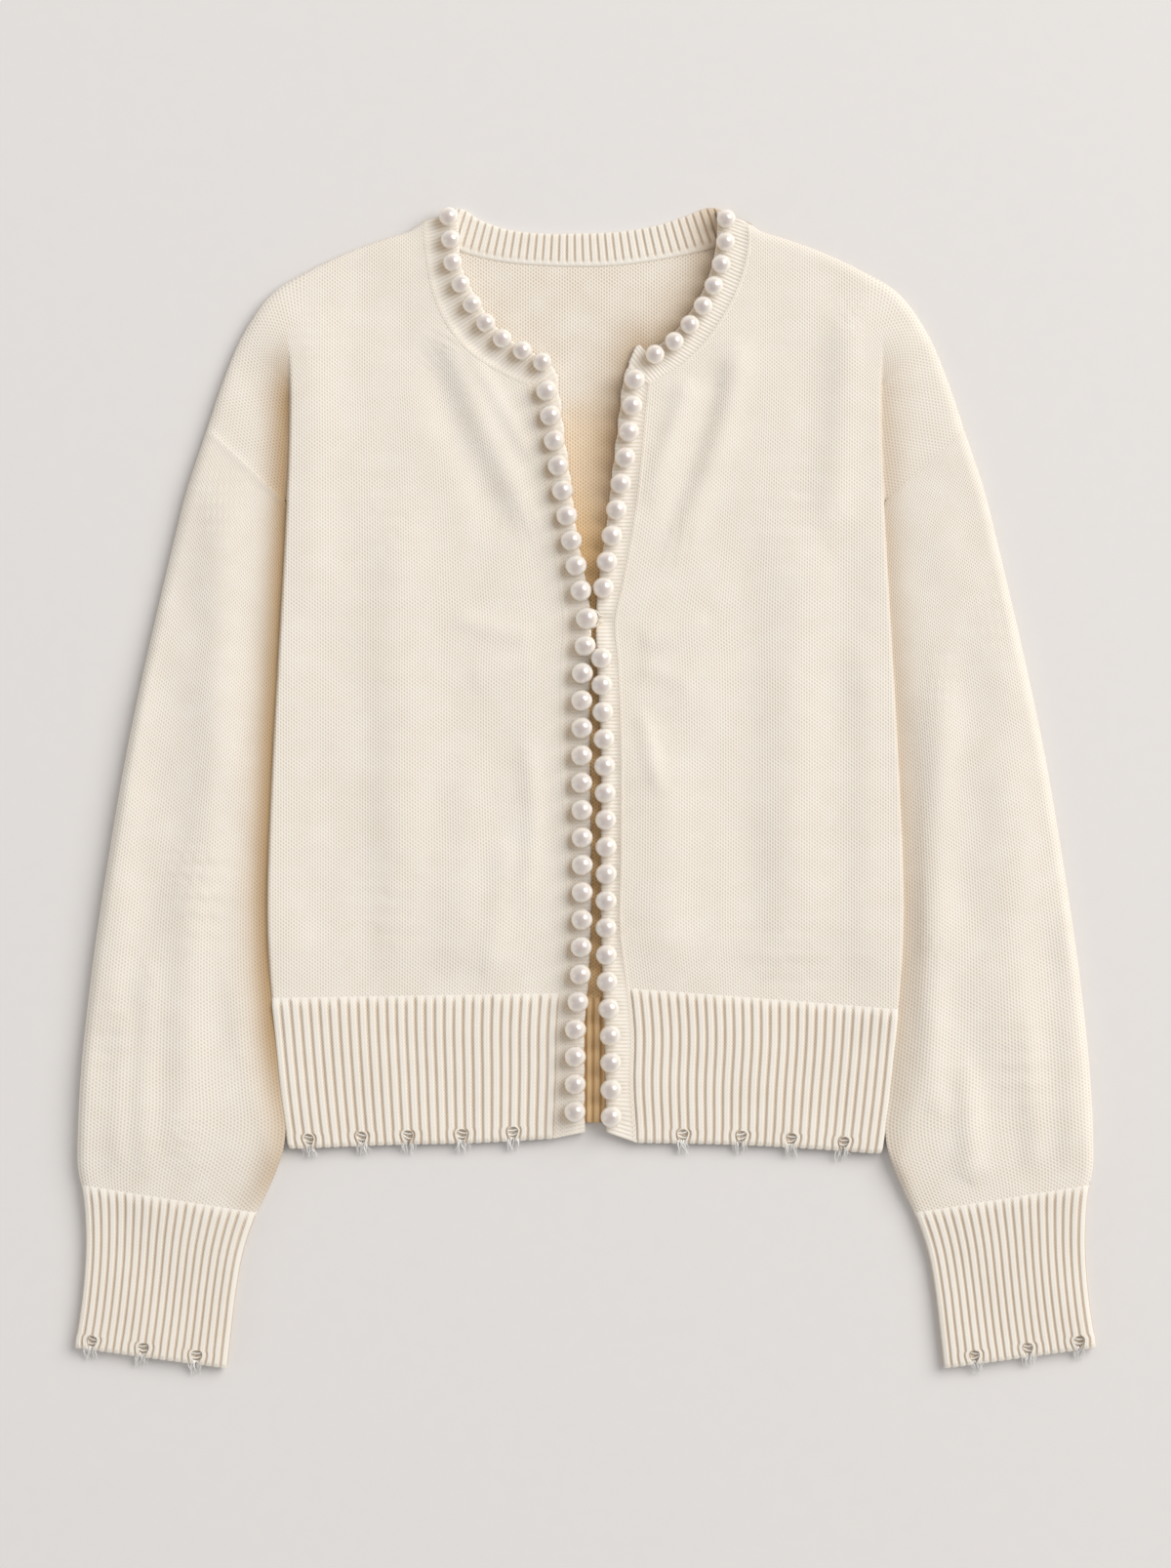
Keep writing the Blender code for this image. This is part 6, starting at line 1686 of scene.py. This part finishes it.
def pearl_string(name, plan, diameter):
    """Round pearls of one string, seated on the band."""
    radius = diameter / 2
    height = np.full(len(plan), BAND_TOP + LAYER_GAP + PEARL_RISE * radius - PEARL_SEAT)
    centres = raised(plan, height)
    if len(plan) > 1:
        heading = unit(np.gradient(centres, axis=0))
    else:
        heading = np.array([[0, -1.0, 0]])
    balls = [ball(c, radius, h) for c, h in zip(centres, heading)]
    piece = joined(name + "_balls", balls, pearl_material())
    place_piece(piece, name)


def fastening_loop():
    """Two-ply yarn loop of the right band, round the foot of the button pearl."""
    centre = np.array([band_at(BAND_LEFT, "pearl", BUTTON_Y), BUTTON_Y])
    turn = np.radians(np.linspace(20, 340, 60))
    arc = LOOP_RADIUS * np.stack([np.cos(turn), np.sin(turn)], -1)
    arc += centre + np.array([2.3, 0.0]) * MM
    reach = np.linspace(1, 0.1, 10)[:, None]
    tail = LOOP_TAIL * np.array([1, 0])
    plan = np.concatenate([arc[0] + tail * reach, arc, arc[-1] + tail * reach[::-1]])
    height = np.full(len(plan), BAND_TOP + LAYER_GAP + LOOP_YARN / 2)
    line = raised(plan, height)
    wind = np.linspace(0, 2 * math.pi * LOOP_TURNS, len(line))
    plies = []
    for start in (0, math.pi):
        ply = line.copy()
        ply[:, 2] += PLY_REACH * np.sin(wind + start)
        ply[:, 1] += PLY_REACH * np.cos(wind + start)
        plies.append(capped(ply, PLY_RADIUS, 8))
    piece = joined("fastening_loop_yarn", plies, yarn_material("loop_yarn", (0.92, 0.87, 0.79)))
    place_piece(piece, "fastening_loop")


# --- torn yarn ---


def worn_backing(name, mouth, across, down):
    """Thin worn cloth behind a rip: a patch a little wider than the rip, sagging in its middle,
    coloured with painted shade.
    """
    v, u = np.meshgrid(np.linspace(1.2, 7.6, 7) * MM, np.linspace(-1, 1, 9), indexing="ij")
    x = (rip_half_width(v) + 0.9 * MM) * u
    plan = mouth + x[..., None] * across - v[..., None] * down
    z = (4.1 + 0.5 * np.abs(u) + 0.9 * (v / (7.6 * MM)) ** 2) * MM
    top = raised(plan, z)
    knit = bpy.context.scene.cardigan_knit
    stitches = np.stack([x / knit.wale, v / knit.course], -1)
    return cloth(name + "_backing", top, top - np.array([0, 0, 0.5 * MM]), stitches,
                 [turned_jersey()] * 2, {"shade": np.full(z.shape, BACKING_PAINTED_SHADE)})


def torn_yarn(name, mouth, inward, number):
    """Yarn of a rip: strands across its top and a tuft of fibres at either side of its mouth.

    A fibre falls from the cloth's height to the floor in a soft bend, thinning to its tip.
    """
    chance = np.random.default_rng(100 + number)
    down = -unit(inward)
    across = np.array([-down[1], down[0]])
    t = np.linspace(0, 1, 8)
    strands = []
    for place, lift, sag in STRANDS:
        reach = np.linspace(-1, 1, 12)
        x = (rip_half_width(np.array(place * MM)) + 0.8 * MM) * reach
        slant = chance.uniform(-0.9, 0.9) * MM * reach
        along = slant - place * MM + sag * MM * (1 - reach ** 2)
        plan = mouth + x[:, None] * across + along[:, None] * down
        z = lift * MM + 0.25 * MM * np.sin(3 * reach)
        strands.append(capped(raised(plan, z), STRAND_RADIUS, 6, turns=2))
    for side in (-1, 1):
        for _ in range(FIBRES):
            root = side * (RIP_HALF_MOUTH + chance.uniform(-0.4, 2.4) * MM)
            splay = side * chance.uniform(-0.8, 1.6) * MM
            reach = chance.uniform(*FIBRE_REACH) * MM
            curl = chance.uniform(-1.3, 1.3) * MM
            x = root + splay * t + curl * np.sin(chance.uniform(3, 6) * t)
            along = -1.8 * MM + (reach + 1.8 * MM) * t
            plan = mouth + x[:, None] * across + along[:, None] * down
            start = chance.uniform(4.6, 6.4) * MM
            z = start + (3.0 * MM - start) * ease(t) + 0.5 * MM * np.sin(5 * t)
            line = raised(plan, np.maximum(z, 0.4 * MM))
            strands.append(capped(line, chance.uniform(*FIBRE_RADIUS) * MM, 5, taper=0.7))
    place_piece(worn_backing(name, mouth, across, down), name)
    piece = joined(name + "_yarn", strands, yarn_material("torn_yarn", (0.98, 0.965, 0.94), 1.0))
    place_piece(piece, name)


# --- stage ---
VIEW_HEIGHT = 0.8678         # what the picture shows, in metres, and its centre
VIEW_CENTRE_Y = 0.0051
CAMERA_HEIGHT = 2.6
FLOOR_SIZE = 6.0
ROOM_COLOUR = (1.0, 0.985, 0.975, 1.0)
KEY_LIGHT = {"name": "key_light", "place": (4.22, 2.95, 4.74), "size": 6.0,
             "colour": (1.0, 0.985, 0.965)}
FILL_LIGHT = {"name": "fill_light", "place": (-2.1, -0.6, 0.9), "size": 1.4,
              "colour": (0.97, 0.98, 1.0)}


def make_floor(colour):
    """A square surface just below the garment."""
    mesh = bpy.data.meshes.new("floor")
    r = FLOOR_SIZE / 2
    mesh.from_pydata([(-r, -r, 0), (r, -r, 0), (r, r, 0), (-r, r, 0)], [], [(0, 1, 2, 3)])
    floor = bpy.data.objects.new("floor", mesh)
    floor.location.z = -0.2 * MM
    material, w, shader = new_material("pale_floor")
    grain = w.noise(w.node("ShaderNodeTexCoord").outputs["Object"], 90.0)
    darker = colour4([channel * 0.975 for channel in colour])
    w.fill(shader, {"Base Color": w.mix(grain, colour4(colour), darker), "Roughness": 0.95,
                    "Specular IOR Level": 0.1})
    mesh.materials.append(material)
    bpy.context.scene.collection.objects.link(floor)


def make_light(name, place, size, colour, power):
    """A round area light that faces the middle of the floor."""
    data = bpy.data.lights.new(name, "AREA")
    data.shape = "DISK"
    data.size = size
    data.energy = power
    data.color = colour
    light = bpy.data.objects.new(name, data)
    light.location = place
    light.rotation_euler = (-Vector(place)).to_track_quat("-Z", "Y").to_euler()
    bpy.context.scene.collection.objects.link(light)


def make_camera():
    """A camera straight above: lens = sensor x distance / height of the view."""
    data = bpy.data.cameras.new("camera_above")
    data.sensor_width = 36.0
    data.lens = data.sensor_width * CAMERA_HEIGHT / VIEW_HEIGHT
    data.clip_end = 20.0
    camera = bpy.data.objects.new("camera_above", data)
    camera.location = (0.0, VIEW_CENTRE_Y, CAMERA_HEIGHT)
    bpy.context.scene.collection.objects.link(camera)
    bpy.context.scene.camera = camera


# --- settings ---


def measure(name, description, millimetres):
    """A length that a user may change, with its default in millimetres."""
    return bpy.props.FloatProperty(name=name, description=description, unit="LENGTH",
                                   default=millimetres * MM, precision=5)


def shade_of(name, description, default):
    """A colour that a user may change."""
    return bpy.props.FloatVectorProperty(name=name, description=description, size=3, min=0, max=1,
                                         subtype="COLOR", default=default)


class KnitSettings(bpy.types.PropertyGroup):
    wale: measure("Wale", "Width of one column of stitches", 2.9)
    course: measure("Course", "Height of one row of stitches", 2.05)
    band_line: measure("Band line", "Spacing of the fine lines across the bands", 2.1)
    hem_rib_rise: measure("Hem rib", "Height of the hem's ribs over their grooves", 1.25)
    cuff_rib_rise: measure("Cuff rib", "Height of the cuffs' ribs over their grooves", 1.15)
    stitch_relief: bpy.props.FloatProperty(
        name="Stitch relief", description="How strongly the stitches stand out", default=0.55,
        min=0.0, max=1.0, subtype="FACTOR")
    cream: shade_of("Cream", "Colour of the yarn", (0.91, 0.878, 0.81))
    shade: shade_of("Shade", "Colour between the stitches and in the rib grooves",
                    (0.58, 0.43, 0.28))
    deep_shade: shade_of("Deep shade", "Tint of the cloth in the folds and under the fronts",
                         (1.0, 0.77, 0.48))
    valley: shade_of("Valley", "Shade of the cloth beside the body's folded sides",
                     (0.56, 0.41, 0.25))


class TrimSettings(bpy.types.PropertyGroup):
    pearl: measure("Pearl", "Diameter of the front pearls", 11.8)
    neck_pearl: measure("Neck pearl", "Diameter of the neckline's pearls", 10.6)
    button_pearl: measure("Button pearl", "Diameter of the pearl that fastens the fronts", 12.3)
    pearl_body: shade_of("Pearl body", "Main colour of the pearls", (0.875, 0.82, 0.755))
    # the rose colour also paints the darker reflection in the pearls' middle
    pearl_rose_and_reflection: shade_of("Pearl rose", "Second colour of the pearls", (0.55, 0.49, 0.465))


class StageSettings(bpy.types.PropertyGroup):
    key_power: bpy.props.FloatProperty(
        name="Key light", description="Power of the large light at the upper right",
        default=430.0, unit="POWER")
    fill_power: bpy.props.FloatProperty(
        name="Fill light", description="Power of the light at the left", default=4.0, unit="POWER")
    sky: bpy.props.FloatProperty(
        name="Room light", description="Strength of the even light of the room", default=0.50)
    floor: shade_of("Floor", "Colour of the surface below", (0.75, 0.728, 0.715))


# --- operators ---


class CARDIGAN_OT_stage(bpy.types.Operator):
    """Make the floor, the lights and the camera above the garment"""
    bl_idname = "cardigan.stage"
    bl_label = "Stage"

    def execute(self, context):
        stage = context.scene.cardigan_stage
        context.scene.view_settings.view_transform = "Standard"
        make_floor(stage.floor)
        make_light(**KEY_LIGHT, power=stage.key_power)
        make_light(**FILL_LIGHT, power=stage.fill_power)
        world = bpy.data.worlds.new("room")
        world.use_nodes = True
        background = world.node_tree.nodes["Background"]
        background.inputs["Color"].default_value = ROOM_COLOUR
        background.inputs["Strength"].default_value = stage.sky
        context.scene.world = world
        make_camera()
        return {"FINISHED"}


class CARDIGAN_OT_back(bpy.types.Operator):
    """Make the back panel, its hem rib and the back neckband"""
    bl_idname = "cardigan.back"
    bl_label = "Back"

    def execute(self, context):
        back_panel()
        back_hem()
        neckband_back()
        return {"FINISHED"}


class CARDIGAN_OT_fronts(bpy.types.Operator):
    """Make the two front panels"""
    bl_idname = "cardigan.fronts"
    bl_label = "Fronts"

    def execute(self, context):
        front_panel("front_panel_left", -1, NECK_LEFT, BAND_LEFT, HEM_TOP_LEFT)
        front_panel("front_panel_right", 1, NECK_RIGHT, BAND_RIGHT, HEM_TOP_RIGHT)
        return {"FINISHED"}


class CARDIGAN_OT_sleeves(bpy.types.Operator):
    """Make the two sleeves"""
    bl_idname = "cardigan.sleeves"
    bl_label = "Sleeves"

    def execute(self, context):
        sleeve("sleeve_left", -1)
        sleeve("sleeve_right", 1)
        return {"FINISHED"}


class CARDIGAN_OT_ribs(bpy.types.Operator):
    """Make the cuffs and the front hem ribs, with the torn yarn in their rips"""
    bl_idname = "cardigan.ribs"
    bl_label = "Ribbed edges"

    def execute(self, context):
        inward = np.array([0.0, 1.0])
        number = 0
        runs = []
        for name, side in (("left", -1), ("right", 1)):
            mouths = cuff(f"cuff_{name}", side)
            axis = (CUFF_TOP_OUTER + CUFF_TOP_INNER - CUFF_END_OUTER - CUFF_END_INNER)
            runs.append((f"fray_cuff_{name}", mouths, unit(axis * np.array([side, 1]))))
        runs.append(("fray_hem_left", front_hem("hem_rib_front_left", -1, BAND_LEFT, HEM_LEFT,
                                                HEM_RIBS_LEFT, HEM_RIPS_LEFT), inward))
        runs.append(("fray_hem_right", front_hem("hem_rib_front_right", 1, BAND_RIGHT, HEM_RIGHT,
                                                 HEM_RIBS_RIGHT, HEM_RIPS_RIGHT), inward))
        for prefix, mouths, direction in runs:
            for index, mouth in enumerate(mouths, 1):
                number += 1
                torn_yarn(f"{prefix}_{index}", mouth, direction, number)
        return {"FINISHED"}


class CARDIGAN_OT_bands(bpy.types.Operator):
    """Make the front neckbands and the front bands"""
    bl_idname = "cardigan.bands"
    bl_label = "Bands"

    def execute(self, context):
        neckband_front("neckband_front_left", NECK_LEFT)
        neckband_front("neckband_front_right", NECK_RIGHT)
        front_band("front_band_left", BAND_LEFT, -1)
        front_band("front_band_right", BAND_RIGHT, 1)
        return {"FINISHED"}


class CARDIGAN_OT_pearls(bpy.types.Operator):
    """Make the strings of pearls, the button pearl and its loop"""
    bl_idname = "cardigan.pearls"
    bl_label = "Pearls"

    def execute(self, context):
        trim = context.scene.cardigan_trim
        for name, neck, first, last, inset, count in NECK_PEARLS:
            pearl_string(name, neck_pearl_plan(neck, first, last, inset, count), trim.neck_pearl)
        for name, band, top, low, count in FRONT_PEARLS:
            pearl_string(name, front_pearl_plan(band, top * MM, low * MM, count), trim.pearl)
        button = np.array([[band_at(BAND_LEFT, "pearl", BUTTON_Y), BUTTON_Y]])
        pearl_string("button_pearl", button, trim.button_pearl)
        fastening_loop()
        return {"FINISHED"}


class CARDIGAN_PT_panel(bpy.types.Panel):
    """Lists the cardigan's pieces and settings"""
    bl_idname = "CARDIGAN_PT_panel"
    bl_label = "Cardigan"
    bl_space_type = "VIEW_3D"
    bl_region_type = "UI"
    bl_category = "Cardigan"

    def draw(self, context):
        layout = self.layout
        for settings in (context.scene.cardigan_knit, context.scene.cardigan_trim,
                         context.scene.cardigan_stage):
            box = layout.box()
            for key in settings.bl_rna.properties.keys():
                if key not in ("rna_type", "name"):
                    box.prop(settings, key)
        for operator in OPERATORS:
            layout.operator(operator.bl_idname)


OPERATORS = (CARDIGAN_OT_stage, CARDIGAN_OT_back, CARDIGAN_OT_fronts, CARDIGAN_OT_sleeves,
             CARDIGAN_OT_ribs, CARDIGAN_OT_bands, CARDIGAN_OT_pearls)
CLASSES = (KnitSettings, TrimSettings, StageSettings, *OPERATORS, CARDIGAN_PT_panel)


def register():
    """Register the classes and their settings."""
    for item in CLASSES:
        bpy.utils.register_class(item)
    bpy.types.Scene.cardigan_knit = bpy.props.PointerProperty(type=KnitSettings)
    bpy.types.Scene.cardigan_trim = bpy.props.PointerProperty(type=TrimSettings)
    bpy.types.Scene.cardigan_stage = bpy.props.PointerProperty(type=StageSettings)


def unregister():
    """Take the settings and the classes away again."""
    del bpy.types.Scene.cardigan_knit
    del bpy.types.Scene.cardigan_trim
    del bpy.types.Scene.cardigan_stage
    for item in reversed(CLASSES):
        bpy.utils.unregister_class(item)


def main():
    register()
    bpy.ops.cardigan.stage()
    bpy.ops.cardigan.back()
    bpy.ops.cardigan.fronts()
    bpy.ops.cardigan.sleeves()
    bpy.ops.cardigan.ribs()
    bpy.ops.cardigan.bands()
    bpy.ops.cardigan.pearls()


if __name__ == "__main__":
    main()
